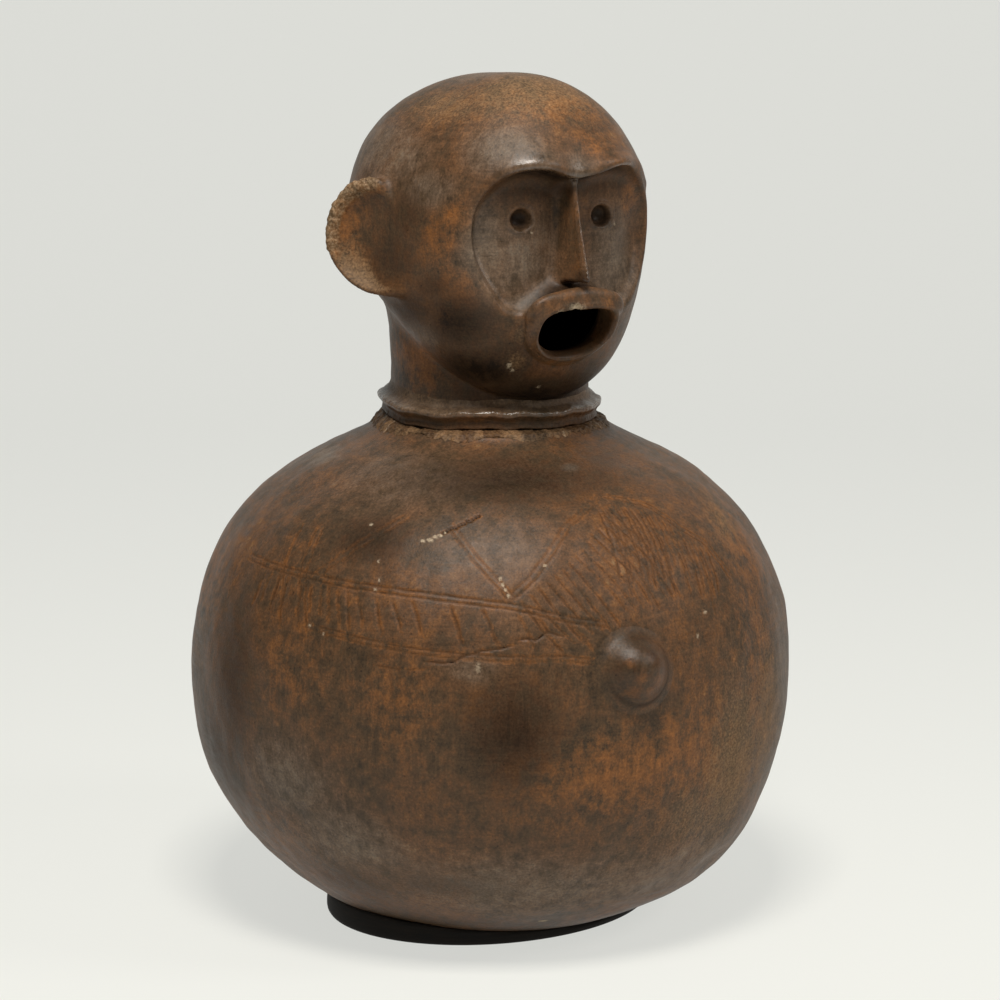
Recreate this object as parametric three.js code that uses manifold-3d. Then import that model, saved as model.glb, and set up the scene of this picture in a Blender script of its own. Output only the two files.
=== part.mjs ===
// Terracotta figural vessel: a coil-built round pot that carries a neck and a hollow head with
// an open mouth, standing in a low black ring. Millimetres, +Z up, the figure looks along -Y.
// The origin is on the floor, under the middle of the whole vessel's box.
import * as THREE from "three";
import { mergeVertices } from "three/addons/utils/BufferGeometryUtils.js";
import Module from "manifold-3d";

const wasm = await Module();
wasm.setup();

// Driving dimensions
const WALL = 9; // thickness of the clay
const GAP = 0.3; // clearance between pieces that touch
const AXIS_Y = 6.6; // the pot's axis lies behind the origin by half the navel boss

// Body: a quarter outline below and above the widest ring, each one Bezier curve
const BODY_RADIUS = 210.9;
const EQUATOR_Z = 168.6;
const BASE_RADIUS = 87.1;
const BASE_Z = 0.9;
const BASE_RISE = 0.6; // the middle of the base is a little hollow
const BELLY = [
  [BASE_RADIUS, BASE_Z],
  [151.5, 20.0],
  [BODY_RADIUS, 70.9],
  [BODY_RADIUS, EQUATOR_Z],
];
const SHOULDER = [
  [BODY_RADIUS, EQUATOR_Z],
  [BODY_RADIUS, 266.0],
  [164.1, 302.9],
  [104.9, 330.3],
];
const RISE_TO_COLLAR = [
  [104.9, 330.3],
  [92.0, 336.3],
  [83.5, 340.0],
  [80.5, 344.5],
];
const SEAM_Z = 232; // joint between the paddled bowl and the coiled shoulder
const BORE_RADIUS = 58; // passage through the shoulder, the neck and the head's floor
const AROUND = 52; // facets round the body

// The base was set down soft and pushed over a little, towards the figure's left front
const LEAN = 7.5;
const LEAN_Z = 40;
const LEAN_SPAN = 45;
const LEAN_TO = new THREE.Vector2(0.857, -0.515);

// Neck: its outer line, [radius, z], flares a little at the foot and under the head
const NECK_RADIUS = 68.5;
const NECK_FOOT_Z = 344.8;
const NECK_TOP_Z = 452;
const NECK_LINE = [
  [NECK_RADIUS + 1.5, NECK_FOOT_Z],
  [NECK_RADIUS, NECK_FOOT_Z + 12],
  [NECK_RADIUS - 0.5, 385],
  [NECK_RADIUS + 0.5, 410],
  [NECK_RADIUS + 4, 432],
  [NECK_RADIUS + 9, NECK_TOP_Z],
];

// Collar: a coil flattened into a flange, its section in parts of the half width and half height
const COLLAR_INNER = 70.3; // where the coil is pressed against the neck
const COLLAR_RADIUS = 71.8; // centre line of the coil
const COLLAR_HALF_WIDTH = 6.2;
const COLLAR_HALF_HEIGHT = 6.8;
const COLLAR_Z = 357.5;
const COLLAR_DIP = 3.0; // the coil sags towards the front
const COLLAR_AROUND = 40;
const COLLAR_SECTION = [
  [0, 1],
  [0.75, 0.95],
  [1, 0.7],
  [0.9, 0.35],
  [0.4, -0.3],
  [0.5, -0.85],
  [0.2, -1],
];
const LUTING_BULGE = 2.4; // height of the clay smeared over the shoulder's edge

// Head: three blended ellipsoids, [y, z, half width, half depth, half height, tilt]
const CRANIUM = [-2.9, 495.2, 97.9, 95.6, 88.4, 0];
const FOREHEAD = [-42.3, 483.8, 86.3, 81.2, 100.1, 0];
const JAW = [-16.6, 443.6, 75.9, 88.5, 27.5, 0.86];
const CRANIUM_BLEND = 12.3;
const JAW_BLEND = 48.5;
const HEAD_CENTRE = new THREE.Vector3(0, -14, 470);
const HEAD_AROUND = 52;
const HEAD_RINGS = 30;
const CAVITY_AROUND = 24;
const CAVITY_RINGS = 14;

// Face: a shallow dish cut back under the brow, with a rounded ledge along its edge
const FACE_Y = -93.5;
const FACE_DISH = 5.5; // the dish lies this much further back at its rim
const FACE_HALF_WIDTH = 75;
const FACE_REACH = 40; // the cut runs on forwards, clear of the head
const LEDGE_DEPTH = 23;
const LEDGE_RUN = 14;
const LEDGE_STEPS = 3;
const BROW = [
  [0, 501.5],
  [15, 506],
  [33, 514.5],
  [52, 510],
  [67, 496],
  [75, 476],
];
const CHEEK = [
  [75, 476],
  [70, 455],
  [56, 438.5],
  [44, 436],
  [34, 446],
  [18, 456],
  [0, 459],
];
const EYE_X = 31.3;
const EYE_Z = 491.4;
const EYE_RADIUS = 8;
const EYE_DEPTH = 6.5;

// Nose: a blade that widens to a flat underside
const NOSE_ROOT = { y: -110, z: 512, half: 4 };
const NOSE_TIP = { y: -126.5, z: 453, half: 9 };
const NOSE_BACK_Y = -86;

// Mouth: an oval through the wall, its plane leaning back towards the chin
const MOUTH = new THREE.Vector3(0, -104.9, 418.7);
const MOUTH_UP = new THREE.Vector3(0, -0.487, 0.873);
const MOUTH_OUT = new THREE.Vector3(0, -0.873, -0.487);
const MOUTH_HALF_WIDTH = 27.8;
const MOUTH_HALF_HEIGHT = 17.5;
const MOUTH_CORNER_RISE = 5;
const MOUTH_AROUND = 32;
const LIP_HALF_WIDTH = 3.4;
const LIP_HALF_DEPTH = 6.5;

// Ears: half bowls that open forwards and outwards
const EAR = { x: 99.5, y: -26, z: 477.5, out: 41, up: 38.5, deep: 14, turn: 55 };
const EAR_RIM = 5.5; // thickness of the flap

// Navel boss
const BOSS_RADIUS = 21.5;
const BOSS_HEIGHT = 17;
const BOSS_Z = 208;
const BOSS_TURN = -3.6; // degrees towards the figure's right
const BOSS_ROOT = 12; // the dome goes on this far into the wall before it is cut
const BOSS_FLARE = 1.5; // the clay smeared out round its foot

// Ring stand: a low oval hoop whose top follows the vessel's underside
const STAND_LONG = 124;
const STAND_SHORT = 105;
const STAND_TURN = 14; // degrees from X to the long axis
const STAND_WIDTH = 25;
const STAND_TOP_Z = 26;
const STAND_AROUND = 40;

const clay = (name, geometry, color, roughness = 0.6) => {
  const material = new THREE.MeshStandardMaterial({ color, roughness, metalness: 0 });
  const mesh = new THREE.Mesh(geometry, material);
  mesh.name = name;
  return mesh;
};

// Solids: a closed three.js geometry becomes a manifold solid and back
function solid(geometry) {
  const bare = new THREE.BufferGeometry();
  const flat = geometry.index ? geometry.toNonIndexed() : geometry;
  bare.setAttribute("position", flat.getAttribute("position"));
  const merged = mergeVertices(bare, 1e-3);
  return new wasm.Manifold(
    new wasm.Mesh({
      numProp: 3,
      vertProperties: merged.attributes.position.array,
      triVerts: new Uint32Array(merged.index.array),
    }),
  );
}

function geometryOf(body) {
  const { vertProperties, triVerts } = body.getMesh();
  const geometry = new THREE.BufferGeometry();
  geometry.setAttribute("position", new THREE.BufferAttribute(vertProperties, 3));
  geometry.setIndex(new THREE.BufferAttribute(triVerts, 1));
  const faceted = geometry.toNonIndexed();
  faceted.computeVertexNormals();
  return faceted;
}

// A skin through rings of points, closed into a hoop or capped at both ends
function loft(rings, hoop = false) {
  const count = rings[0].length;
  const points = rings.flat();
  const faces = [];
  const last = hoop ? rings.length : rings.length - 1;
  for (let i = 0; i < last; i++) {
    for (let j = 0; j < count; j++) {
      const a = i * count + j;
      const b = i * count + ((j + 1) % count);
      const c = ((i + 1) % rings.length) * count + ((j + 1) % count);
      const d = ((i + 1) % rings.length) * count + j;
      faces.push(a, c, b, a, d, c);
    }
  }
  if (!hoop) {
    const end = (rings.length - 1) * count;
    for (let j = 1; j < count - 1; j++) {
      faces.push(0, j, j + 1);
      faces.push(end, end + j + 1, end + j);
    }
  }
  const geometry = new THREE.BufferGeometry().setFromPoints(points);
  geometry.setIndex(faces);
  return geometry;
}

// A hoop swept round the Z axis: section(angle) gives the [radius, z] points there
function hoop(steps, section) {
  const rings = [];
  for (let i = 0; i < steps; i++) {
    const angle = (i / steps) * 2 * Math.PI;
    rings.push(
      section(angle).map(
        ([r, z]) => new THREE.Vector3(r * Math.cos(angle), r * Math.sin(angle), z),
      ),
    );
  }
  return loft(rings, true);
}

const oval = (count, across, high, r0, z0) =>
  Array.from({ length: count }, (_, i) => {
    const t = (i / count) * 2 * Math.PI;
    return [r0 + across * Math.cos(t), z0 + high * Math.sin(t)];
  });

// Outline of the pot
const bezier = (p) =>
  new THREE.CubicBezierCurve(...p.map(([r, z]) => new THREE.Vector2(r, z)));

// Points along a curve, moved inwards from it along its normal
function along(points, steps, inset) {
  const curve = bezier(points);
  return Array.from({ length: steps + 1 }, (_, i) => {
    const at = curve.getPoint(i / steps);
    const way = curve.getTangent(i / steps);
    return new THREE.Vector2(at.x - inset * way.y, at.y + inset * way.x);
  });
}

const unique = (points) =>
  points.filter((p, i) => i === 0 || p.distanceTo(points[i - 1]) > 0.5);

// The pot's outer line from the middle of its base to the collar, or a line inside it
function outline(inset) {
  const middle = new THREE.Vector2(0, BASE_Z + BASE_RISE + inset);
  const foot = new THREE.Vector2(BASE_RADIUS - 7, BASE_Z + inset);
  const [low, high] = inset > GAP ? [5, 4] : [10, 8];
  const parts = [middle, foot, ...along(BELLY, low, inset), ...along(SHOULDER, high, inset)];
  if (inset <= 0) parts.push(...along(RISE_TO_COLLAR, 4, inset));
  return unique(parts);
}

const unevenness = (angle, z) =>
  (0.9 * Math.sin(2 * angle + 0.7) + 0.7 * Math.sin(3 * angle + z / 60)) *
  THREE.MathUtils.smoothstep(z, 5, 90) *
  (1 - THREE.MathUtils.smoothstep(z, 250, 325));

// Turns a lathe's Y axis up to Z, then gives it the lean and the unevenness of hand work
function handBuilt(profile) {
  const turned = new THREE.LatheGeometry(profile, AROUND).rotateX(Math.PI / 2);
  const position = turned.getAttribute("position");
  const p = new THREE.Vector3();
  for (let i = 0; i < position.count; i++) {
    p.fromBufferAttribute(position, i);
    const radius = Math.hypot(p.x, p.y);
    const angle = Math.atan2(p.y, p.x);
    const grown = radius > 1 ? 1 + unevenness(angle, p.z) / BODY_RADIUS : 1;
    const push = LEAN * Math.exp(-(((p.z - LEAN_Z) / LEAN_SPAN) ** 2));
    p.x = p.x * grown + push * LEAN_TO.x;
    p.y = p.y * grown + push * LEAN_TO.y;
    position.setXYZ(i, p.x, p.y, p.z);
  }
  return turned;
}

// The whole pot as a closed lump, a little larger, for cutting what rests on it or holds it
function potLump(grow) {
  const profile = outline(-grow);
  const top = profile[profile.length - 1];
  const lid = [new THREE.Vector2(top.x, top.y + grow), new THREE.Vector2(0, top.y + grow)];
  return solid(handBuilt([...profile, ...lid]));
}

const below = (points, z) => points.filter((p) => p.y < z - 2);
const above = (points, z) => points.filter((p) => p.y > z + 2);

// Radius of a profile at a height, between its points
function radiusAt(points, z) {
  const i = points.findIndex((p, k) => k > 1 && p.y >= z);
  const [low, high] = [points[i - 1], points[i]];
  return low.x + ((high.x - low.x) * (z - low.y)) / (high.y - low.y);
}

function bodyBowl() {
  const outer = outline(0);
  const inner = outline(WALL);
  const top = SEAM_Z - GAP / 2;
  const profile = [
    ...below(outer, top),
    new THREE.Vector2(radiusAt(outer, top), top),
    new THREE.Vector2(radiusAt(inner, top), top),
    ...below(inner, top).reverse(),
  ];
  return clay("body_bowl", handBuilt(profile), 0x5f3f2c, 0.55);
}

function bodyShoulder() {
  const outer = outline(0);
  const inner = outline(WALL);
  const foot = SEAM_Z + GAP / 2;
  const top = outer[outer.length - 1].y;
  const lip = [
    new THREE.Vector2(BORE_RADIUS, top),
    new THREE.Vector2(BORE_RADIUS, top - WALL),
    new THREE.Vector2(BORE_RADIUS + 12, top - WALL - 2.5),
  ];
  const start = new THREE.Vector2(radiusAt(outer, foot), foot);
  const profile = [
    start,
    ...above(outer, foot),
    ...lip,
    ...above(inner, foot).reverse(),
    new THREE.Vector2(radiusAt(inner, foot), foot),
    start.clone(),
  ];
  return clay("body_shoulder", handBuilt(profile), 0x634534, 0.5);
}

function navelBoss(pot) {
  const dome = [
    new THREE.Vector2(0, -BOSS_ROOT),
    new THREE.Vector2(BOSS_RADIUS + BOSS_FLARE, -BOSS_ROOT),
  ];
  for (let i = 0; i < 8; i++) {
    const t = (i / 8) * (Math.PI / 2);
    const radius = (BOSS_RADIUS + BOSS_FLARE * Math.exp(-i)) * Math.cos(t);
    dome.push(new THREE.Vector2(radius, BOSS_HEIGHT * Math.sin(t)));
  }
  dome.push(new THREE.Vector2(0, BOSS_HEIGHT));
  const lump = new THREE.LatheGeometry(dome, 28).rotateX(Math.PI);
  const angle = THREE.MathUtils.degToRad(BOSS_TURN);
  const skin = radiusAt(outline(0), BOSS_Z);
  lump.rotateZ(angle);
  lump.translate(skin * Math.sin(angle), -skin * Math.cos(angle), BOSS_Z);
  return clay("navel_boss", geometryOf(solid(lump).subtract(pot)), 0x4a2a1c, 0.35);
}

// Black ring: an oval hoop cut to the pot's underside
function ringStand(pot) {
  const turn = THREE.MathUtils.degToRad(STAND_TURN);
  const ring = hoop(STAND_AROUND, (angle) => {
    const c = Math.cos(angle - turn) / STAND_LONG;
    const s = Math.sin(angle - turn) / STAND_SHORT;
    const edge = 1 / Math.hypot(c, s);
    return [
      [edge - STAND_WIDTH, 0],
      [edge - 3, 0],
      [edge, 3],
      [edge - 1, STAND_TOP_Z],
      [edge - STAND_WIDTH, STAND_TOP_Z],
    ];
  });
  return clay("ring_stand", geometryOf(solid(ring).subtract(pot)), 0x16120f, 0.85);
}

// Head: a sphere's points moved out along their rays to the blended surface
const blend = (a, b, k) => {
  const h = Math.max(k - Math.abs(a - b), 0) / k;
  return Math.min(a, b) - (h * h * k) / 4;
};

function ellipsoid(p, [y0, z0, a, b, c, tilt]) {
  const y = (p.y - y0) * Math.cos(tilt) + (p.z - z0) * Math.sin(tilt);
  const z = (p.z - z0) * Math.cos(tilt) - (p.y - y0) * Math.sin(tilt);
  const near = Math.hypot(p.x / a, y / b, z / c);
  const slope = Math.hypot(p.x / a ** 2, y / b ** 2, z / c ** 2);
  return (near * (near - 1)) / Math.max(slope, 1e-9);
}

// Distance to the head's plain outer surface, below zero inside; the brow swells over each eye
// and draws in between them
function headDistance(p) {
  const skull = blend(ellipsoid(p, CRANIUM), ellipsoid(p, FOREHEAD), CRANIUM_BLEND);
  const whole = blend(skull, ellipsoid(p, JAW), JAW_BLEND);
  const sideways = (Math.abs(p.x) - 33) / 24;
  const upwards = (p.z - 531) / 13;
  const swell = 4.5 * Math.exp(-(sideways ** 2) - upwards ** 2);
  const drawn = 5 * Math.exp(-((p.x / 15) ** 2) - ((p.z - 517) / 15) ** 2);
  return p.y < 0 ? whole - swell + drawn : whole;
}

// Radius from the head's centre to where the distance equals the offset
function headRadius(way, offset) {
  let low = 5;
  let high = 170;
  const p = new THREE.Vector3();
  for (let i = 0; i < 24; i++) {
    const middle = (low + high) / 2;
    p.copy(HEAD_CENTRE).addScaledVector(way, middle);
    if (headDistance(p) < offset) low = middle;
    else high = middle;
  }
  return low;
}

function headLump(offset, around, rings) {
  const ball = new THREE.SphereGeometry(1, around, rings).rotateX(Math.PI / 2);
  const position = ball.getAttribute("position");
  const way = new THREE.Vector3();
  for (let i = 0; i < position.count; i++) {
    way.fromBufferAttribute(position, i).normalize();
    const p = HEAD_CENTRE.clone().addScaledVector(way, headRadius(way, offset));
    position.setXYZ(i, p.x, p.y, p.z);
  }
  return solid(ball);
}

// Cutter for the face: the heart-shaped outline, extruded forwards with a rounded edge
function faceCutter(planeY) {
  const right = [...spline(BROW, 9), ...spline(CHEEK, 10).slice(1)];
  const left = right.slice(1, -1).reverse();
  const outlinePoints = [...right, ...left.map((p) => new THREE.Vector2(-p.x, p.y))];
  const heart = new THREE.ExtrudeGeometry(new THREE.Shape(outlinePoints), {
    depth: FACE_REACH,
    bevelThickness: LEDGE_DEPTH,
    bevelSize: LEDGE_RUN,
    bevelSegments: LEDGE_STEPS,
  });
  heart.rotateX(Math.PI / 2);
  heart.translate(0, planeY - LEDGE_DEPTH, 0);
  const position = heart.getAttribute("position");
  for (let i = 0; i < position.count; i++) {
    const dished = FACE_DISH * (position.getX(i) / FACE_HALF_WIDTH) ** 2;
    position.setY(i, position.getY(i) + dished);
  }
  return solid(heart);
}

const spline = (points, steps) =>
  new THREE.SplineCurve(points.map(([x, z]) => new THREE.Vector2(x, z))).getPoints(steps);

// Frame of the mouth: across is X, up runs along the leaning plane, out points forwards
const mouthPoint = (across, up, out) =>
  MOUTH.clone()
    .addScaledVector(MOUTH_UP, up)
    .addScaledVector(MOUTH_OUT, out)
    .add(new THREE.Vector3(across, 0, 0));

// Point of the mouth's oval, grown by a margin; the corners sit above the middle
function mouthOval(t, margin, out) {
  const across = (MOUTH_HALF_WIDTH + margin) * Math.cos(t);
  const up = (MOUTH_HALF_HEIGHT + margin) * Math.sin(t);
  return mouthPoint(across, up + MOUTH_CORNER_RISE * Math.cos(t) ** 2, out);
}

function mouthCutter(margin) {
  const ring = (out) =>
    Array.from({ length: MOUTH_AROUND }, (_, i) =>
      mouthOval((i / MOUTH_AROUND) * 2 * Math.PI, margin, out),
    );
  return solid(loft([ring(40), ring(-45)]));
}

function headShell() {
  const outer = headLump(0, HEAD_AROUND, HEAD_RINGS).subtract(faceCutter(FACE_Y));
  const cavity = headLump(-WALL, CAVITY_AROUND, CAVITY_RINGS).subtract(faceCutter(FACE_Y + WALL));
  const [foot, top] = [HEAD_CENTRE.z - 140, HEAD_CENTRE.z - 30];
  const passage = new THREE.CylinderGeometry(BORE_RADIUS, BORE_RADIUS, top - foot, 32)
    .rotateX(Math.PI / 2)
    .translate(0, 0, (top + foot) / 2);
  const eyes = [EYE_X, -EYE_X].map((x) => {
    const pit = new THREE.SphereGeometry(EYE_RADIUS, 16, 10);
    pit.translate(x, FACE_Y - EYE_RADIUS + EYE_DEPTH, EYE_Z);
    return solid(pit);
  });
  let shell = outer.subtract(cavity).subtract(solid(passage));
  shell = shell.subtract(mouthCutter(LIP_HALF_WIDTH + GAP));
  for (const eye of eyes) shell = shell.subtract(eye);
  return clay("head_shell", geometryOf(shell), 0x5a3d2b, 0.5);
}

// Nose: sections from the root down to the flat underside
function nose(head) {
  const rings = [];
  for (let i = 0; i <= 6; i++) {
    const t = i / 6;
    const z = THREE.MathUtils.lerp(NOSE_ROOT.z, NOSE_TIP.z, t);
    const y = THREE.MathUtils.lerp(NOSE_ROOT.y, NOSE_TIP.y, t ** 1.15);
    const half = THREE.MathUtils.lerp(NOSE_ROOT.half, NOSE_TIP.half, t ** 1.4);
    const bridge = Math.min(half * 0.32, 2.6);
    rings.push(
      [
        [-half, NOSE_BACK_Y],
        [-half, FACE_Y - 1],
        [-half * 0.62, FACE_Y - 7],
        [-bridge, y + 2.2],
        [0, y],
        [bridge, y + 2.2],
        [half * 0.62, FACE_Y - 7],
        [half, FACE_Y - 1],
        [half, NOSE_BACK_Y],
      ].map(([px, py]) => new THREE.Vector3(px, py, z)),
    );
  }
  return clay("nose", geometryOf(solid(loft(rings)).subtract(head)), 0x4d3324, 0.4);
}

// Lips: one coil of clay bent round the mouth
function lipRing(head) {
  const rings = [];
  for (let i = 0; i < MOUTH_AROUND; i++) {
    const t = (i / MOUTH_AROUND) * 2 * Math.PI;
    rings.push(
      oval(8, LIP_HALF_WIDTH, LIP_HALF_DEPTH, LIP_HALF_WIDTH, 0).map(([margin, out]) =>
        mouthOval(t, margin, out),
      ),
    );
  }
  return clay("lip_ring", geometryOf(solid(loft(rings, true)).subtract(head)), 0x4f3526, 0.4);
}

// Ear: a bowl turned on the lathe, drawn out to an oval and pressed on to the side of the head
function ear(side, head) {
  const bowl = [];
  for (let i = 0; i <= 6; i++) {
    const t = (i / 6) * (Math.PI / 2);
    bowl.push(new THREE.Vector2(i === 0 ? 0 : Math.sin(t), -Math.cos(t)));
  }
  bowl.push(new THREE.Vector2(1, 0.05));
  const narrower = 1 - EAR_RIM / EAR.out;
  const shallower = 1 - EAR_RIM / EAR.deep;
  for (let i = 6; i >= 0; i--) {
    const t = (i / 6) * (Math.PI / 2);
    bowl.push(new THREE.Vector2(i === 0 ? 0 : narrower * Math.sin(t), -shallower * Math.cos(t)));
  }
  const flap = new THREE.LatheGeometry(bowl, 22);
  flap.scale(EAR.out, EAR.deep, EAR.up);
  flap.rotateX(Math.PI);
  flap.rotateZ(THREE.MathUtils.degToRad(-EAR.turn));
  flap.translate(-EAR.x, EAR.y, EAR.z);
  const geometry = geometryOf(largest(solid(flap).subtract(head)));
  if (side > 0) mirror(geometry);
  return clay(side > 0 ? "ear_left" : "ear_right", geometry, 0x7a5636, 0.75);
}

// Mirrors a geometry in X and turns its faces back outwards
function mirror(geometry) {
  geometry.scale(-1, 1, 1);
  const position = geometry.getAttribute("position");
  const a = new THREE.Vector3();
  const b = new THREE.Vector3();
  for (let i = 0; i < position.count; i += 3) {
    a.fromBufferAttribute(position, i + 1);
    b.fromBufferAttribute(position, i + 2);
    position.setXYZ(i + 1, b.x, b.y, b.z);
    position.setXYZ(i + 2, a.x, a.y, a.z);
  }
  geometry.computeVertexNormals();
}

// Neck: a plain tube, flared where it meets the head and cut to the head's underside
function neckTube(head) {
  const foot = [BORE_RADIUS, NECK_FOOT_Z];
  const profile = [foot, ...NECK_LINE, [BORE_RADIUS, NECK_TOP_Z], foot].map(
    ([r, z]) => new THREE.Vector2(r, z),
  );
  const tube = new THREE.LatheGeometry(profile, COLLAR_AROUND).rotateX(Math.PI / 2);
  return clay("neck_tube", geometryOf(largest(solid(tube).subtract(head))), 0x5b3d29, 0.6);
}

// Collar: a rolled coil pressed flat against the neck, uneven in height and girth
const collarHeight = (angle) =>
  COLLAR_Z +
  COLLAR_DIP * Math.sin(angle) +
  1.1 * Math.sin(3 * angle + 0.4) +
  0.6 * Math.sin(5 * angle);

function neckCollar() {
  const coil = hoop(COLLAR_AROUND, (angle) => {
    const width = COLLAR_HALF_WIDTH * (1 + 0.08 * Math.sin(4 * angle + 1));
    const z = collarHeight(angle);
    const skin = COLLAR_SECTION.map(([across, up]) => [
      COLLAR_RADIUS + across * width,
      z + up * COLLAR_HALF_HEIGHT,
    ]);
    const back = [
      [COLLAR_INNER, z - COLLAR_HALF_HEIGHT],
      [COLLAR_INNER, z + COLLAR_HALF_HEIGHT],
    ];
    return [...skin, ...back].reverse();
  });
  return clay("neck_collar", coil, 0x49301f, 0.35);
}

// Luting: the pale clay smeared into the joint between the shoulder and the collar, all round
function lutingSeam() {
  const ledge = outline(0).pop();
  const bed = ledge.y + 2 * GAP;
  const seam = hoop(COLLAR_AROUND, (angle) => {
    const ragged = 0.4 + 0.5 * Math.sin(7 * angle) + 0.4 * Math.sin(11 * angle + 1);
    const underCoil = collarHeight(angle) - COLLAR_HALF_HEIGHT - GAP;
    return [
      [COLLAR_INNER + GAP, bed],
      [ledge.x + ragged, bed],
      [ledge.x + ragged, ledge.y + LUTING_BULGE],
      [COLLAR_RADIUS + 0.6 * COLLAR_HALF_WIDTH, underCoil + GAP],
      [COLLAR_RADIUS + 0.1 * COLLAR_HALF_WIDTH, underCoil],
      [COLLAR_INNER + GAP, underCoil],
    ];
  });
  return clay("luting_seam", seam, 0x8d7557, 0.9);
}

const largest = (body) => body.decompose().sort((a, b) => b.volume() - a.volume())[0];

// Assembly
const pot = potLump(GAP);
const headGrown = headLump(GAP, HEAD_AROUND, HEAD_RINGS).subtract(faceCutter(FACE_Y - GAP));

const vessel = new THREE.Group();
vessel.position.y = AXIS_Y;
vessel.add(ringStand(pot));
vessel.add(bodyBowl());
vessel.add(bodyShoulder());
vessel.add(navelBoss(pot));
vessel.add(headShell());
vessel.add(nose(headGrown));
vessel.add(neckTube(headGrown));
vessel.add(neckCollar());
vessel.add(lutingSeam());
vessel.add(lipRing(headGrown.subtract(mouthCutter(LIP_HALF_WIDTH))));
vessel.add(ear(-1, headGrown));
vessel.add(ear(1, headGrown));

export default vessel;
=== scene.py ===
import math

import bpy
import numpy as np
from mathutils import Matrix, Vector


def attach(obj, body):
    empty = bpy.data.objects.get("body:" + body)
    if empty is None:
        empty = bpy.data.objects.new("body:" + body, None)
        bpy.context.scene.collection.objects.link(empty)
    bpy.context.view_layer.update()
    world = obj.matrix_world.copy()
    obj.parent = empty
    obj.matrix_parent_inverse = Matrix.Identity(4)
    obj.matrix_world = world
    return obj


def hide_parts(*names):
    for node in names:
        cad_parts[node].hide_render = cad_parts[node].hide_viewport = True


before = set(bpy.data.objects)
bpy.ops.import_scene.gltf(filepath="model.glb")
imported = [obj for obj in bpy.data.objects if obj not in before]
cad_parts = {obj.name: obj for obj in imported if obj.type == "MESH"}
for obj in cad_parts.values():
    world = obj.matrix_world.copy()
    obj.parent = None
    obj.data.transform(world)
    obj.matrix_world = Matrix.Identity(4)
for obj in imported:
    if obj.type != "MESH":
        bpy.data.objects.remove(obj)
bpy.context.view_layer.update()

# Studio
# The vessel stands on a pale sweep of paper under one broad overhead lamp, with a weaker one in
# front of its left shoulder. The camera looks down a little on the figure's right front.
EYE_TURN = math.radians(31)
EYE_DISTANCE = 2.2
EYE_HEIGHT = 0.68
AIM_HEIGHT = 0.28711
AXIS_Y = 6.6  # mm from the middle of the whole object's box back to the pot's axis

axis_point = Vector((0, AXIS_Y / 1000, 0))
eye = axis_point + Vector(
    (-math.sin(EYE_TURN) * EYE_DISTANCE, -math.cos(EYE_TURN) * EYE_DISTANCE, EYE_HEIGHT)
)
aim = axis_point + Vector((0, 0, AIM_HEIGHT))
bpy.ops.object.camera_add(location=eye, rotation=(aim - eye).to_track_quat("-Z", "Y").to_euler())
camera = bpy.context.object
camera.data.lens = 115.26
camera.data.sensor_width = 36
camera.data.shift_x = 0.0105
camera.data.clip_end = 20
bpy.context.scene.camera = camera
bpy.context.scene.view_settings.view_transform = "Standard"


def linear(code):
    """An sRGB hex colour as the linear colour that a socket wants."""
    parts = [int(code[i : i + 2], 16) / 255 for i in (1, 3, 5)]
    return tuple([c / 12.92 if c < 0.04045 else ((c + 0.055) / 1.055) ** 2.4 for c in parts] + [1])


def add(tree, kind, inputs=None, output=0, **settings):
    """Adds a shader node and gives one of its outputs; an input is a value or another output."""
    made = tree.nodes.new("ShaderNode" + kind)
    for name, value in settings.items():
        setattr(made, name, value)
    for name, value in (inputs or {}).items():
        if isinstance(value, bpy.types.NodeSocket):
            tree.links.new(value, made.inputs[name])
        else:
            made.inputs[name].default_value = value
    return made.outputs[output]


def lamp(name, place, size, watts, colour):
    """A soft square lamp that faces the middle of the vessel."""
    place = Vector(place)
    facing = (Vector((0, 0, 0.3)) - place).to_track_quat("-Z", "Y").to_euler()
    bpy.ops.object.light_add(type="AREA", location=place, rotation=facing)
    made = bpy.context.object
    made.name = name
    made.data.shape = "SQUARE"
    made.data.size = size
    made.data.energy = watts
    made.data.color = linear(colour)[:3]


lamp("overhead_lamp", (-0.55, -0.8, 2.12), 0.6, 44, "#fffaf2")
lamp("side_lamp", (1.25, -1.45, 1.6), 0.6, 11, "#fffdf8")

world = bpy.data.worlds.new("studio")
bpy.context.scene.world = world
world.use_nodes = True
around = world.node_tree.nodes["Background"]
around.inputs["Color"].default_value = linear("#f5f5f2")
around.inputs["Strength"].default_value = 0.17

# Paper sweep: flat under the vessel, then rising behind it in one curve
SWEEP_SIZE = 9
SWEEP_FLAT = 6.2
SWEEP_CURVE = 1.2
bpy.ops.object.select_all(action="DESELECT")
bpy.ops.mesh.primitive_grid_add(x_subdivisions=1, y_subdivisions=120, size=2)
paper = bpy.context.object
paper.name = "paper"
for point in paper.data.vertices:
    run = (point.co.y + 1) / 2 * (SWEEP_FLAT + SWEEP_CURVE * math.pi / 2 + 3)
    bend = min(max((run - SWEEP_FLAT) / SWEEP_CURVE, 0), math.pi / 2)
    up = max(run - SWEEP_FLAT - SWEEP_CURVE * math.pi / 2, 0)
    back = min(run, SWEEP_FLAT) - 4.0 + SWEEP_CURVE * math.sin(bend)
    point.co = (point.co.x * SWEEP_SIZE / 2, back, up + SWEEP_CURVE * (1 - math.cos(bend)) - 0.0002)
paper.rotation_euler.z = -EYE_TURN
bpy.ops.object.shade_smooth()
paper_look = bpy.data.materials.new("matt_paper")
paper_look.use_nodes = True
paper_tree = paper_look.node_tree
paper_shader = paper_tree.nodes["Principled BSDF"]
paper_shader.inputs["Base Color"].default_value = linear("#f1f2ec")
paper_shader.inputs["Roughness"].default_value = 0.9
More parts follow.
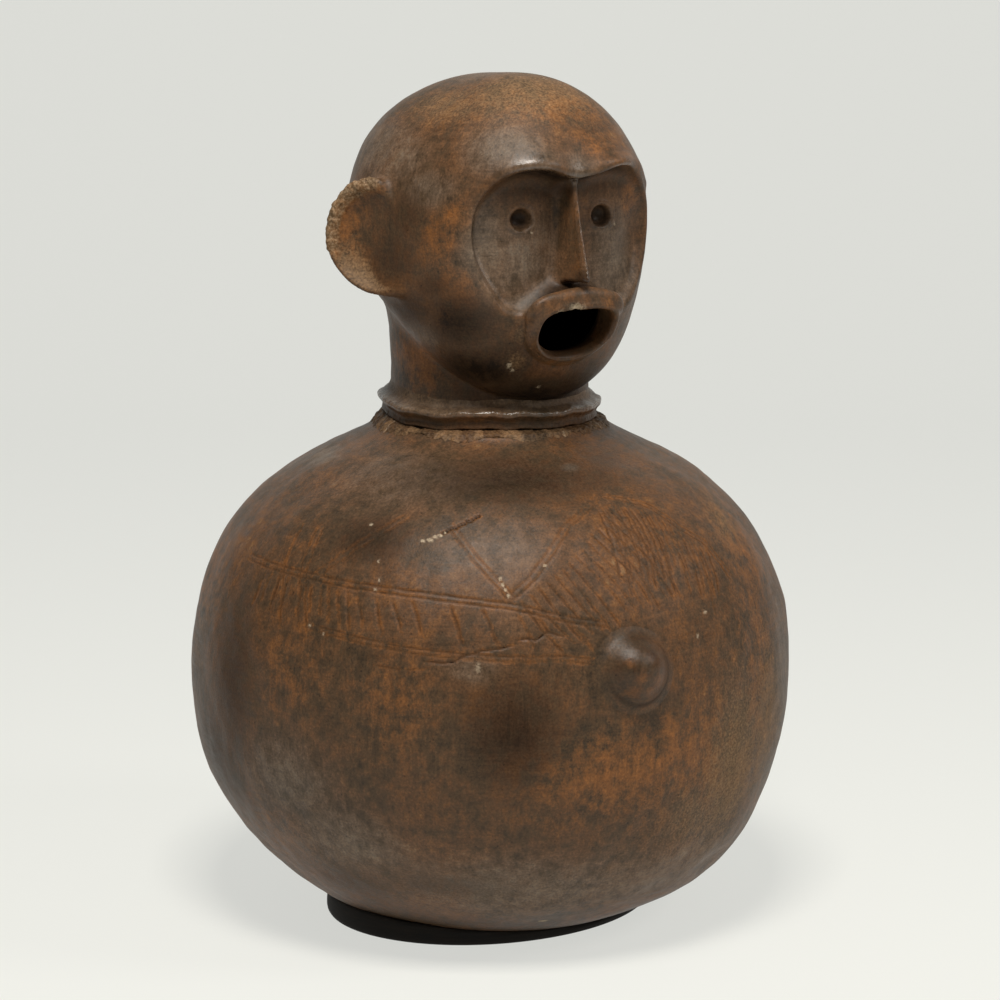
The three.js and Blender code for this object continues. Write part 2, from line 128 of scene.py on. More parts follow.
paper_shader.inputs["Specular IOR Level"].default_value = 0.2
# Seen straight, in a polish or through glass it keeps most of its own paleness, and the shadow
ray = add(paper_tree, "LightPath").node.outputs
seen = ray["Is Camera Ray"]
for other in ("Is Glossy Ray", "Is Transmission Ray"):
    seen = add(paper_tree, "Math", {0: seen, 1: ray[other]}, operation="MAXIMUM")
share = add(paper_tree, "Math", {0: seen, 1: 0.7}, operation="MULTIPLY")
pale = add(paper_tree, "Emission", {"Color": linear("#f0f1ec"), "Strength": 1.0})
either = add(paper_tree, "MixShader", {0: share, 1: paper_shader.outputs[0], 2: pale})
paper_tree.links.new(either, paper_tree.nodes["Material Output"].inputs["Surface"])
paper.data.materials.append(paper_look)


# Shape of the pot
# One outline, turned about the pot's axis, gives the bowl and the shoulder. The soft base was set
# down leaning towards the figure's left front, and paddling left the round a little uneven.
WALL = 9
BODY_RADIUS = 210.9
SEAM_Z = 232
BORE_RADIUS = 58
BASE_LINE = [(0, 1.5), (80.1, 0.9)]
BELLY = [(87.1, 0.9), (151.5, 20.0), (210.9, 70.9), (210.9, 168.6)]
SHOULDER = [(210.9, 168.6), (210.9, 266.0), (164.1, 302.9), (104.9, 330.3)]
RISE_TO_COLLAR = [(104.9, 330.3), (92.0, 336.3), (83.5, 340.0), (80.5, 344.5)]
LEDGE_Z = 344.5
LEAN = 7.5
LEAN_Z = 40
LEAN_SPAN = 45
LEAN_TO = (0.857, -0.515)
PADDLED_IN = 1.15  # mm that the widest part lost


def step(value, low, high):
    """A smooth step from 0 at low to 1 at high."""
    t = np.clip((value - low) / (high - low), 0, 1)
    return t * t * (3 - 2 * t)


def bezier(points, count):
    t = np.linspace(0, 1, count)[:, None]
    a, b, c, d = np.array(points, float)
    return a * (1 - t) ** 3 + 3 * b * (1 - t) ** 2 * t + 3 * c * (1 - t) * t**2 + d * t**3


outline = np.vstack(
    [BASE_LINE, bezier(BELLY, 120), bezier(SHOULDER, 100)[1:], bezier(RISE_TO_COLLAR, 30)[1:]]
)
OUT_R, OUT_Z = outline.T
OUT_S = np.concatenate([[0], np.cumsum(np.hypot(np.diff(OUT_R), np.diff(OUT_Z)))])
first_rise = len(BASE_LINE)


def length_at(z):
    """Length along the outline, from the middle of the base, at a height on the belly or shoulder."""
    return np.interp(z, OUT_Z[first_rise:], OUT_S[first_rise:])


def hand_turned(radius, z, turn):
    """Points of the pot at radii and heights; turn runs from the front to the figure's right."""
    x = -radius * np.sin(turn)
    y = -radius * np.cos(turn)
    angle = np.arctan2(y, x)
    wavy = 0.9 * np.sin(2 * angle + 0.7) + 0.7 * np.sin(3 * angle + z / 60)
    grown = 1 + (wavy - PADDLED_IN) * step(z, 5, 90) * (1 - step(z, 250, 325)) / BODY_RADIUS
    push = LEAN * np.exp(-(((z - LEAN_Z) / LEAN_SPAN) ** 2))
    return np.stack([x * grown + push * LEAN_TO[0], y * grown + push * LEAN_TO[1], z + 0 * x], -1)


waves = np.random.default_rng(11)


def make_lumps(longest, shortest, count):
    """Settings of a gentle unevenness: waves in all directions, between two wavelengths in mm."""
    ways = waves.normal(size=(count, 3))
    ways /= np.linalg.norm(ways, axis=1)[:, None]
    lengths = waves.uniform(shortest, longest, count)
    return ways * (2 * math.pi / lengths)[:, None], waves.uniform(0, 2 * math.pi, count)


def lumps(points, made):
    """The unevenness at points, about -1 to 1."""
    ways, starts = made
    total = np.zeros(points.shape[:-1])
    for way, start in zip(ways, starts):
        total += np.sin(points @ way + start)
    return total / math.sqrt(len(starts))


paddled = make_lumps(90, 45, 14)
pinched = make_lumps(28, 12, 18)
crumbled = make_lumps(6, 2.5, 24)


def hand_work(points):
    """How far paddling and pinching moved the pot's wall, in mm."""
    return 0.55 * lumps(points, paddled) + 0.16 * lumps(points, pinched)


def dress(piece, node, body, material):
    """Gives a finished piece its material, hangs it on a body and hides the solid it stands for."""
    piece.data.materials.clear()
    piece.data.materials.append(material)
    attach(piece, body)
    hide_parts(node)


def wrapped_grid(name, points, marks, sharp_rows=()):
    """A grid bent over rows and columns of points in mm, its edges merged where they meet."""
    rows, columns = points.shape[0] - 1, points.shape[1] - 1
    bpy.ops.object.select_all(action="DESELECT")
    bpy.ops.mesh.primitive_grid_add(x_subdivisions=columns, y_subdivisions=rows, size=2)
    skin = bpy.context.object
    skin.name = name
    flat = np.empty(len(skin.data.vertices) * 3)
    skin.data.vertices.foreach_get("co", flat)
    flat = flat.reshape(-1, 3)
    i = np.rint((flat[:, 0] + 1) / 2 * columns).astype(int)
    j = np.rint((flat[:, 1] + 1) / 2 * rows).astype(int)
    place = (points[j, i] + (0, AXIS_Y, 0)) / 1000
    skin.data.vertices.foreach_set("co", place.ravel())
    for mark, values in marks.items():
        layer = skin.data.attributes.new(mark, "FLOAT", "POINT")
        layer.data.foreach_set("value", values[j, i].astype(np.float32))
    ends = np.empty(len(skin.data.edges) * 2, int)
    skin.data.edges.foreach_get("vertices", ends)
    ends = j[ends.reshape(-1, 2)]
    crisp = skin.data.attributes.new("sharp_edge", "BOOLEAN", "EDGE")
    crisp.data.foreach_set("value", (ends[:, 0] == ends[:, 1]) & np.isin(ends[:, 0], sharp_rows))
    bpy.ops.object.mode_set(mode="EDIT")
    bpy.ops.mesh.select_all(action="SELECT")
    bpy.ops.mesh.remove_doubles(threshold=1e-6)
    bpy.ops.mesh.normals_make_consistent(inside=False)
    bpy.ops.object.mode_set(mode="OBJECT")
    bpy.ops.object.shade_smooth()
    return skin


def normals_of(points):
    """Outward normals of a grid of points whose columns go round the axis."""
    along = np.gradient(points, axis=0)
    across = np.roll(points[:, :-1], -1, 1) - np.roll(points[:, :-1], 1, 1)
    across = np.concatenate([across, across[:, :1]], 1)
    out = np.cross(along, across)
    out /= np.maximum(np.linalg.norm(out, axis=-1), 1e-9)[..., None]
    centre = points.mean(axis=(0, 1))
    return out if np.mean(np.sum(out * (points - centre), -1)) > 0 else -out


# Fired clay
# Low-fired brown earthenware, coiled, paddled and rubbed with a pebble until it shone. An open
# fire left smoke clouds and orange flashes, and handling and damp a grey bloom, scratches and grit.
# The smoke mark also holds painted shade: under the jaw, chin, brow ledge and nose, round the boss's foot,
# under the collar's flange, in the eye pits and inside the hollows.
SMOKE_AND_SHADE, FLASH, OCHRE, CHALK, GREY_AND_SHEEN, SHINE = "smoke_and_shade", "flash", "ochre", "chalk", "grey", "shine"
# The grey mark also holds painted sheen and highlights where the burnish reflects the lamps: on the pot,
# the face, the brow, the crown and the collar's upper side.
CLAY_MARKS = (SMOKE_AND_SHADE, FLASH, OCHRE, CHALK, GREY_AND_SHEEN, SHINE)


def per_metre(millimetres):
    """Scale of a pattern whose grains are that many millimetres apart."""
    return 1000 / millimetres


RANGE = ("From Min", "From Max", "To Min", "To Max")  # limits that turn one spread into another


def fired_clay():
    """Burnished low-fired earthenware: satin, mottled, streaked by the pebble, with fine grit."""
    look = bpy.data.materials.new("burnished_earthenware")
    look.use_nodes = True
    tree = look.node_tree
    shader = tree.nodes["Principled BSDF"].inputs
    place = add(tree, "TexCoord", output="Object")
    marks = {mark: add(tree, "Attribute", output="Fac", attribute_name=mark) for mark in CLAY_MARKS}

    # Patches of brown and red-brown a hand across, as the fire left them
    hand = {"Vector": place, "Scale": per_metre(70), "Detail": 5, "Roughness": 0.62, "Distortion": 0.4}
    patches = add(tree, "TexNoise", hand)

    # Mottling a finger across, drawn out upright: dark olive, brown, red-brown, orange and tan
    drawn_out = add(tree, "Mapping", {"Vector": place, "Scale": (1, 1, 0.75)})
    finger = {"Vector": drawn_out, "Scale": per_metre(9), "Detail": 8, "Roughness": 0.76}
    mottle = add(tree, "TexNoise", finger)
    large = add(tree, "Math", {0: patches, 1: 0.4}, operation="MULTIPLY")
    both = add(tree, "Math", {0: mottle, 1: 0.6, 2: large}, operation="MULTIPLY_ADD")
    colour = add(tree, "ValToRGB", {"Fac": both})
    ramp = colour.node.color_ramp.elements
    for position, code in ((0.46, "#4f3b28"), (0.53, "#5c4029"), (0.6, "#684526")):
        ramp.new(position).color = linear(code)
    for i, position, code in ((0, 0.34, "#382e21"), (-1, 0.69, "#7c6141")):
        ramp[i].position = position
        ramp[i].color = linear(code)

    # Strokes of the burnishing pebble, 1.5 mm wide and some 30 mm long: upright in one place, level
    # in the next
    stroke = {"Detail": 4, "Roughness": 0.7}
    upright = add(tree, "Mapping", {"Vector": place, "Scale": (1, 1, 0.07)})
    strokes = add(tree, "TexNoise", {"Vector": upright, "Scale": per_metre(2.6), **stroke})
    lying = {"Vector": place, "Rotation": (0.12, -0.1, 0), "Scale": (0.12, 0.12, 1)}
    level = add(tree, "Mapping", lying)
    rubbed = add(tree, "TexNoise", {"Vector": level, "Scale": per_metre(2.8), **stroke})
    areas = add(tree, "TexNoise", {"Vector": place, "Scale": per_metre(48), "Detail": 2})
    choice = add(tree, "MapRange", {"Value": areas, "From Min": 0.42, "From Max": 0.6})
    stroked = add(tree, "Mix", {"Factor": choice, "A": strokes, "B": rubbed}, data_type="FLOAT")

    # Grit of 1.5 mm, pale and dark, and burnt-out grains: dots a millimetre wide, some 8 mm apart
    fine_grit = {"Vector": place, "Scale": per_metre(1.6), "Detail": 2, "Roughness": 0.6}
    grit = add(tree, "TexNoise", fine_grit)
    grains = add(tree, "TexVoronoi", {"Vector": place, "Scale": per_metre(8)})

    def broken(mark, by, strength):
        """A mark whose soft edge is broken up by a pattern."""
        spread = dict(zip(RANGE, (0.3, 0.7, -strength, strength)))
        edge = add(tree, "MapRange", {"Value": by, **spread}, clamp=False)
        moved = add(tree, "Math", {0: marks[mark], 1: edge}, operation="ADD")
        gate = add(tree, "MapRange", {"Value": marks[mark], "From Min": 0.02, "From Max": 0.3})
        return add(tree, "Math", {0: moved, 1: gate}, operation="MULTIPLY", use_clamp=True)

    def over(under, code, amount):
        """A colour laid over another by an amount."""
        mix = {"Factor": amount, "A": under, "B": linear(code)}
        return add(tree, "Mix", mix, 2, data_type="RGBA")

    # Grey bloom, and painted sheen in the same grey
    colour = over(colour, "#66584a", broken(GREY_AND_SHEEN, mottle, 0.6))
    colour = over(colour, "#7d5029", broken(FLASH, mottle, 0.7))
    # Smoke clouds, and painted shade in the same dark colour
    colour = over(colour, "#1e150e", broken(SMOKE_AND_SHADE, mottle, 0.4))
    colour = over(colour, "#866a4b", broken(OCHRE, grit, 0.2))
    shades = (
        (mottle, 0.3, 0.7, 0.82, 1.16),
        (stroked, 0.3, 0.7, 0.75, 1.24),
        (grit, 0.28, 0.72, 0.7, 1.3),
        (grains, 0.05, 0.11, 0.5, 1.0),
    )
    for pattern, *limits in shades:
        shade = add(tree, "MapRange", {"Value": pattern, **dict(zip(RANGE, limits))})
        grey = add(tree, "CombineColor", {"Red": shade, "Green": shade, "Blue": shade})
        mix = {"Factor": 1.0, "A": colour, "B": grey}
        colour = add(tree, "Mix", mix, 2, data_type="RGBA", blend_type="MULTIPLY")
    colour = over(colour, "#bfae95", broken(CHALK, grit, 0.35))
    tree.links.new(colour, shader["Base Color"])

    # Satin where the pebble pressed, glossier where marked to shine, and dull where clay is bare
    gloss = add(tree, "MapRange", {"Value": stroked, **dict(zip(RANGE, (0.3, 0.7, 0.4, 0.56)))})
    shone = add(tree, "Math", {0: marks[SHINE], 1: -0.28, 2: gloss}, operation="MULTIPLY_ADD")
    bare = add(tree, "Math", {0: marks[OCHRE], 1: marks[CHALK]}, operation="MAXIMUM")
    dulled = add(tree, "Mix", {"Factor": bare, "A": shone, "B": 0.85}, data_type="FLOAT")
    tree.links.new(dulled, shader["Roughness"])
    shader["IOR"].default_value = 1.45

    # Handling has waxed the proud places, and soot lies dull in the smoke clouds; the painted shade in the
    # smoke mark is dulled as well
    waxed = add(tree, "Math", {0: marks[SHINE], 1: 0.36, 2: 0.32}, operation="MULTIPLY_ADD")
    dull = {0: marks[SMOKE_AND_SHADE], 1: -0.26, 2: waxed}
    sooty = add(tree, "Math", dull, operation="MULTIPLY_ADD", use_clamp=True)
    tree.links.new(sooty, shader["Specular IOR Level"])

    # Relief: grit, strokes and thumb marks
    heights = add(tree, "Math", {0: grit, 1: 0.5, 2: stroked}, operation="MULTIPLY_ADD")
    fine = add(tree, "Bump", {"Height": heights, "Strength": 0.35, "Distance": 0.0003})
    thumbed = {"Height": mottle, "Strength": 0.4, "Distance": 0.0012, "Normal": fine}
    tree.links.new(add(tree, "Bump", thumbed), shader["Normal"])
    return look


clay = fired_clay()


def lay(marks, mark, amount, rows=slice(None)):
    """Strengthens a mark to an amount wherever it is weaker."""
    marks[mark][rows] = np.maximum(marks[mark][rows], amount)


def fading(points, centre, size):
    """1 at a centre, fading to 0 in the distance given by size, both in mm."""
    away = np.sum(((points - np.array(centre)) / np.array(size)) ** 2, -1)
    return np.exp(-away)


def pot_place(turn_degrees, z):
    """A point on the pot's outside, from an angle round it and a height."""
    return hand_turned(np.interp(z, OUT_Z[first_rise:], OUT_R[first_rise:]), z, math.radians(turn_degrees))


# Where the fire and the years left marks on the pot, the grey ones also painted sheen: angle from the
# front, height, size, strength
POT_MARKS = {
    SMOKE_AND_SHADE: [
        (86, 185, (26, 26, 60), 0.55), (27, 172, (30, 30, 34), 0.72), (58, 288, (30, 30, 16), 0.6),
        (24, 322, (80, 80, 14), 0.6), (95, 120, (40, 40, 50), 0.45), (66, 52, (40, 40, 22), 0.35),
        (44, 60, (60, 40, 14), 0.35), (3, 226, (16, 16, 10), 0.5), (-12, 330, (30, 30, 12), 0.35),
        (140, 150, (70, 70, 60), 0.6), (-120, 210, (60, 60, 70), 0.55),
        (180, 90, (60, 60, 40), 0.5),
    ],
    FLASH: [
        (8, 140, (50, 50, 24), 0.75), (-8, 150, (40, 40, 26), 0.6), (48, 190, (26, 26, 34), 0.3),
        (-38, 268, (30, 40, 30), 0.55), (-30, 200, (26, 30, 60), 0.35),
        (70, 205, (30, 30, 30), 0.25), (-150, 170, (80, 80, 50), 0.6),
        (110, 240, (50, 50, 40), 0.35),
    ],
    OCHRE: [
        (-22, 128, (34, 34, 60), 0.5), (-34, 150, (26, 40, 60), 0.4), (-12, 100, (40, 40, 30), 0.3),
        (-36, 285, (20, 40, 20), 0.3), (-100, 120, (50, 50, 50), 0.35),
    ],
    GREY_AND_SHEEN: [
        (30, 283, (44, 38, 20), 0.3), (22, 250, (40, 32, 18), 0.2), (34, 214, (16, 16, 9), 0.6),
        (60, 320, (60, 60, 20), 0.35), (105, 324, (20, 20, 5), 0.9), (2.7, 326.5, (6, 5, 3), 0.9),
        (72, 130, (40, 40, 26), 0.6), (60, 90, (50, 40, 26), 0.6), (30, 60, (90, 60, 26), 0.6),
        (-10, 55, (90, 60, 26), 0.5), (-44, 180, (20, 40, 80), 0.4), (104, 200, (24, 24, 90), 0.3),
        (170, 280, (90, 90, 40), 0.5),
    ],
    CHALK: [
        (45.8, 289.1, (1.6, 1.6, 1), 0.8), (44.3, 289.8, (2.2, 2, 1), 0.95),
        (43.2, 291.6, (1.6, 1.8, 1), 0.95), (42.1, 292.4, (1.6, 1.5, 0.9), 0.95),
        (41.2, 294.2, (1, 1, 1), 0.9), (28.9, 268.6, (0.9, 0.9, 1.8), 0.9),
        (28.4, 265.2, (0.9, 0.9, 2), 0.95), (27.9, 261.9, (0.8, 0.8, 1.6), 0.95),
        (27.4, 258.8, (1, 1, 1.4), 0.95), (19.5, 275.4, (1.3, 1, 0.9), 0.8),
        (53.8, 259.8, (1, 1, 1), 0.9), (53.4, 266, (0.9, 0.9, 2.2), 0.6),
        (54.6, 276, (1, 1, 2), 0.5), (59.7, 296, (1.2, 1.2, 1.6), 0.8),
        (-14.6, 237.2, (1.5, 1.5, 1.2), 0.9), (-11.4, 223.5, (0.9, 0.9, 1.6), 0.8),
        (66.5, 234.1, (1, 1, 1.8), 0.8), (63.1, 229.9, (1, 1, 1), 0.7),
        (18.5, 23.7, (3.5, 3, 1.2), 0.9), (33, 215, (2, 2, 4), 0.35),
    ],
    SHINE: [
        (3.6, 211, (15, 15, 15), 1.6),
    ],
}


def pot_marks(points):
    """How strong each mark is at points on the pot."""
    found = {}
    for mark in CLAY_MARKS:
        amount = np.zeros(points.shape[:-1])
        for turn, z, size, strength in POT_MARKS[mark]:
            amount = np.maximum(amount, strength * fading(points, pot_place(turn, z), size))
        found[mark] = amount
    return found


# Ring stand
# A low oval hoop of wood, turned and then cut to the pot's underside, stained matt black. The
# vessel only rests in it.
STAND_LONG = 124
STAND_SHORT = 105
STAND_TURN = math.radians(14)
STAND_WIDTH = 25


def underside(x, y):
    """Height of the pot's underside over a point of the floor."""
    z = np.full(np.shape(x), 10.0)
    for _ in range(12):
        push = LEAN * np.exp(-(((z - LEAN_Z) / LEAN_SPAN) ** 2))
        radius = np.hypot(x - push * LEAN_TO[0], y - push * LEAN_TO[1])
        z = np.interp(radius, OUT_R[:first_rise + 100], OUT_Z[:first_rise + 100])
    return z


around_ring = np.linspace(0, 2 * math.pi, 193)
edge = 1 / np.hypot(
    np.cos(around_ring - STAND_TURN) / STAND_LONG, np.sin(around_ring - STAND_TURN) / STAND_SHORT
)


def ring_line(inward, z=None):
    """A line round the ring, so far in from its edge, at a height or just under the pot."""
    x = (edge - inward) * np.cos(around_ring)
    y = (edge - inward) * np.sin(around_ring)
    top = underside(x, y) - 0.35
    return np.stack([x, y, top if z is None else np.minimum(z + 0 * x, top)], -1)


RING_SECTION = [  # how far in from the edge and how high; None is just under the pot
    (24.2, 0), (13, 0), (2.4, 0), (1.0, 0.5), (0.3, 1.6), (0, 3.2), (0, 6), (0.2, 9), (0.6, 12),
    (1.2, 14.5), (2.2, None), (4, None), (8, None), (13, None), (18, None), (22, None),
    (24.2, None), (25, 1.0), (24.2, 0),
]
ring_points = np.array([ring_line(*place) for place in RING_SECTION])
ring = wrapped_grid("ring_stand_wood", ring_points, {})

stain = bpy.data.materials.new("matt_black_stained_wood")
stain.use_nodes = True
stain_tree = stain.node_tree
stain_shader = stain_tree.nodes["Principled BSDF"].inputs
stain_place = add(stain_tree, "TexCoord", output="Object")
# Grain lines 2 mm apart lie level round the hoop, so they are stretched along the floor
stain_map = add(stain_tree, "Mapping", {"Vector": stain_place, "Scale": (0.1, 0.1, 1)})
lines_of_grain = {"Vector": stain_map, "Scale": per_metre(2), "Detail": 4, "Roughness": 0.6}
grain = add(stain_tree, "TexNoise", lines_of_grain)
stain_colour = add(stain_tree, "ValToRGB", {"Fac": grain})
for i, position, code in ((0, 0.35, "#14110e"), (1, 0.75, "#241d17")):
    stain_colour.node.color_ramp.elements[i].position = position
    stain_colour.node.color_ramp.elements[i].color = linear(code)
stain_tree.links.new(stain_colour, stain_shader["Base Color"])
stain_shader["Roughness"].default_value = 0.8
stain_shader["Specular IOR Level"].default_value = 0.3
stain_relief = add(stain_tree, "Bump", {"Height": grain, "Strength": 0.4, "Distance": 0.0004})
stain_tree.links.new(stain_relief, stain_shader["Normal"])
dress(ring, "ring_stand", "stand", stain)


# Frieze
# Incised with a point in leather-hard clay: two level lines hold a band of strokes, and triangles
# stand on it, the largest filled with fine slanting lines. It is only on the side seen in front.
GROOVE_WIDTH = 0.95
GROOVE_DEPTH = 0.7
band_top = [(90, 264.5), (80.5, 262.8), (70.1, 261.6), (62.2, 260), (54.5, 258.8), (44.2, 256.4),
            (35.3, 253.8), (28.1, 251), (23.4, 248), (18.5, 243.5), (13.6, 239.6), (8.8, 236.6)]
band_foot = [(68, 235.5), (58.3, 231.8), (54.3, 229.6), (47.7, 227), (41.9, 225), (36.4, 223.6),
             (27.3, 221.5), (17.5, 221), (11.5, 217.3)]
left_slope = [(67.4, 262), (64.6, 271), (61, 281), (54.3, 294.4), (51, 301)]
right_slope = [(41.1, 298.4), (33.5, 276), (26.9, 254.5)]
tall_left = [(26.9, 254.5), (22, 266.4), (11.6, 296.8), (-0.6, 311.2)]
tall_right = [(-0.6, 311.2), (-10.4, 304), (-13.2, 300.3), (-16.8, 288.5), (-21.4, 277.5),
              (-25.4, 252.1)]

chance = np.random.default_rng(5)


def beside(line, turn, rise):
    return [(a + turn, z + rise) for a, z in line]


def height_on(line, turn):
    """Height of a line of the frieze at an angle."""
    points = sorted(line)
    return float(np.interp(turn, [p[0] for p in points], [p[1] for p in points]))


grooves = []


def cut(line, depth=GROOVE_DEPTH, width=GROOVE_WIDTH):
    grooves.append((line, depth, width))


for line in (band_top, beside(band_top, 0, 3.3)):
    cut(line, 0.55, 0.85)
cut(band_foot, 0.5, 0.85)
cut(beside(band_foot, 0, -3.2), 0.35)
for line, shift in ((left_slope, 1.7), (right_slope, -1.3), (tall_left, 1.4), (tall_right, -1.1)):
    cut(line, 0.48, 0.8)
    cut(beside(line, shift, 1.2), 0.4, 0.8)
for shift in (0, 1.7, 6.4):
    cut([(72.2 + shift, 291), (71 + shift, 268), (66.8 + shift, 229)], 0.42, 0.85)

# Strokes across the band: upright and close at the far right of the figure, slanting further on
turn = 82.0
while turn > 13:
    foot = height_on(band_foot, turn) if turn < 69 else 236
    top = height_on(band_top, turn)
    slant = float(np.interp(turn, [15, 60, 82], [-3.6, -2.2, 0.6]))
    low = top - (top - foot) * chance.uniform(0.72, 0.97)
    start = top - chance.uniform(1, 5)
    if chance.random() < 0.86:
        line = [(turn, start), (turn + slant * 0.55, (start + low) / 2), (turn + slant, low)]
        cut(line, chance.uniform(0.35, 0.75), 1.0)
    turn -= chance.uniform(1.9, 2.7) if turn > 58 else chance.uniform(2.3, 4.3)

# Fine lines in the large triangle: slanting near its left side, upright towards its right
SLANTING = 15
UPRIGHT = 19
for i in range(SLANTING):
    t = i / (SLANTING - 1)
    turn = 26.9 + (0.5 - 26.9) * (t * 0.94 + 0.04)
    top = 254.5 + (309 - 254.5) * (t * 0.94 + 0.04)
    length = 30 + 26 * t + chance.uniform(-5, 5)
    middle = (turn - 4.5 - 3 * t, top - length * 0.55)
    line = [(turn - 1.0, top - 2), middle, (turn - 8.5 - 2 * t, top - length)]
    cut(line, chance.uniform(0.4, 0.7), 0.8)
for i in range(UPRIGHT):
    turn = 2.5 - 1.33 * i + chance.uniform(-0.2, 0.2)
    top = (height_on(tall_right, turn) if turn < -0.6 else 309) - 4
    length = chance.uniform(34, 58) * (1 - 0.25 * i / UPRIGHT)
    line = [(turn, top), (turn + 0.6, top - length / 2), (turn + 1.5, top - length)]
    cut(line, chance.uniform(0.4, 0.75), 0.8)

# Cracks and a row of pits, cut like the lines but deeper: points, depth and half width
CRACKS = [
    ([(42.9, 218), (39, 217.4), (37, 219.1), (35.6, 222), (34.7, 222.4), (32.6, 225.6), (29.5, 226.2),
      (26.5, 229)], 1.2, 0.62),
    ([(25.6, 231.7), (23.9, 232.4), (22.5, 231.2), (21.3, 234.5), (19.9, 236.1), (18.5, 234.2),
      (17.2, 233)], 1.3, 0.62),
    ([(52, 214), (47, 212.5), (42, 213.5)], 0.5, 0.7),
]
pricked = np.random.default_rng(3)
PITS = [(41.6 - 0.66 * i, 294.4 + 0.75 * i + pricked.uniform(-0.6, 0.6)) for i in range(13)]
PIT_DEPTH = 1.6


# Bowl and shoulder
# The bowl was pinched and paddled up past its widest ring, and the shoulder coiled on to it. The
# join is smeared over and shows only as the crack in the frieze. Both walls are 9 mm thick.
FINE_TURNS = (-38, 100)  # degrees in which the frieze is cut
DEGREE = 3.4  # mm to a degree, high on the pot
FELT = (1.4, 3.6)  # how far from its middle a groove is felt: degrees round, mm up
BLACKENED = 1.05  # depth from which a crack or pit is darkened
DENT_TURN, DENT_Z, DENT_DEPTH = -27, 52, 3.2
fine = np.arange(FINE_TURNS[0], FINE_TURNS[1], 0.33)
coarse = np.linspace(FINE_TURNS[1], FINE_TURNS[0] + 360, 150)
turns = np.radians(np.concatenate([fine, coarse]))


def evenly(low, high, gap):
    """Lengths along the outline from low to high, about a gap apart."""
    return np.linspace(low, high, max(2, int(round((high - low) / gap)) + 1))


def inner_line(lengths):
    """Radii and heights of the inner wall at lengths along the outline."""
    r = np.interp(lengths, OUT_S, OUT_R)
    z = np.interp(lengths, OUT_S, OUT_Z)
    ahead = np.interp(lengths + 1, OUT_S, OUT_R) - np.interp(lengths - 1, OUT_S, OUT_R)
    rising = np.interp(lengths + 1, OUT_S, OUT_Z) - np.interp(lengths - 1, OUT_S, OUT_Z)
    slope = np.hypot(ahead, rising)
    return np.maximum(r - WALL * rising / slope, 0), z + WALL * ahead / slope


def groove_depths(points, grid_turns, lengths):
    """Depth cut into the skin by the frieze, the cracks and the pits, and where they are."""
    depth = np.zeros(points.shape[:2])
    trace = np.zeros(points.shape[:2])
    samples = []
    for line, deep, wide in grooves + CRACKS:
        a = np.array([p[0] for p in line], float)
        s = length_at(np.array([p[1] for p in line], float))
        run = np.concatenate([[0], np.cumsum(np.hypot(np.diff(a) * DEGREE, np.diff(s)))])
        t = np.linspace(0, run[-1], max(3, int(run[-1] / 0.5)))
        ends = np.minimum(step(t, 0, 4), step(run[-1] - t, 0, 5))
        shake = 0.25 * np.sin(t / 3.1 + a[0]) + 0.15 * np.sin(t / 1.3 + s[0])
        worn = 0.78 + 0.22 * np.sin(t / 4.7 + s[0]) + 0.14 * np.sin(t / 1.9 + a[0])
        turned = np.interp(t, run, a) + shake / DEGREE
        risen = np.interp(t, run, s) + shake / 2
        for ai, si, press in zip(turned, risen, ends * worn):
            samples.append((ai, si, deep * (0.35 + 0.65 * press), wide))
    for a, z in PITS:
        samples.append((a, float(length_at(z)), PIT_DEPTH, 1.0))
    grid_degrees = np.degrees(grid_turns)
    for a, s, deep, wide in samples:
        c0, c1 = np.searchsorted(grid_degrees[: len(fine)], (a - FELT[0], a + FELT[0]))
        r0, r1 = np.searchsorted(lengths, (s - FELT[1], s + FELT[1]))
        if c0 == c1 or r0 == r1:
            continue
        z = float(np.interp(s, OUT_S, OUT_Z))
        middle = hand_turned(float(np.interp(s, OUT_S, OUT_R)), z, math.radians(a))
        away = np.linalg.norm(points[r0:r1, c0:c1] - middle, axis=-1) / wide
        ditch = deep * np.exp(-(away**2))
        burr = 0.12 * deep * np.exp(-((away - 1.9) ** 2) * 2)
        here = depth[r0:r1, c0:c1]
        beside_it = np.where(here > 0, here, -burr)
        depth[r0:r1, c0:c1] = np.where(ditch > 0.12 * deep, np.maximum(here, ditch), beside_it)
        trace[r0:r1, c0:c1] = np.maximum(trace[r0:r1, c0:c1], np.exp(-((away / 1.3) ** 2)) * deep)
    return depth, trace


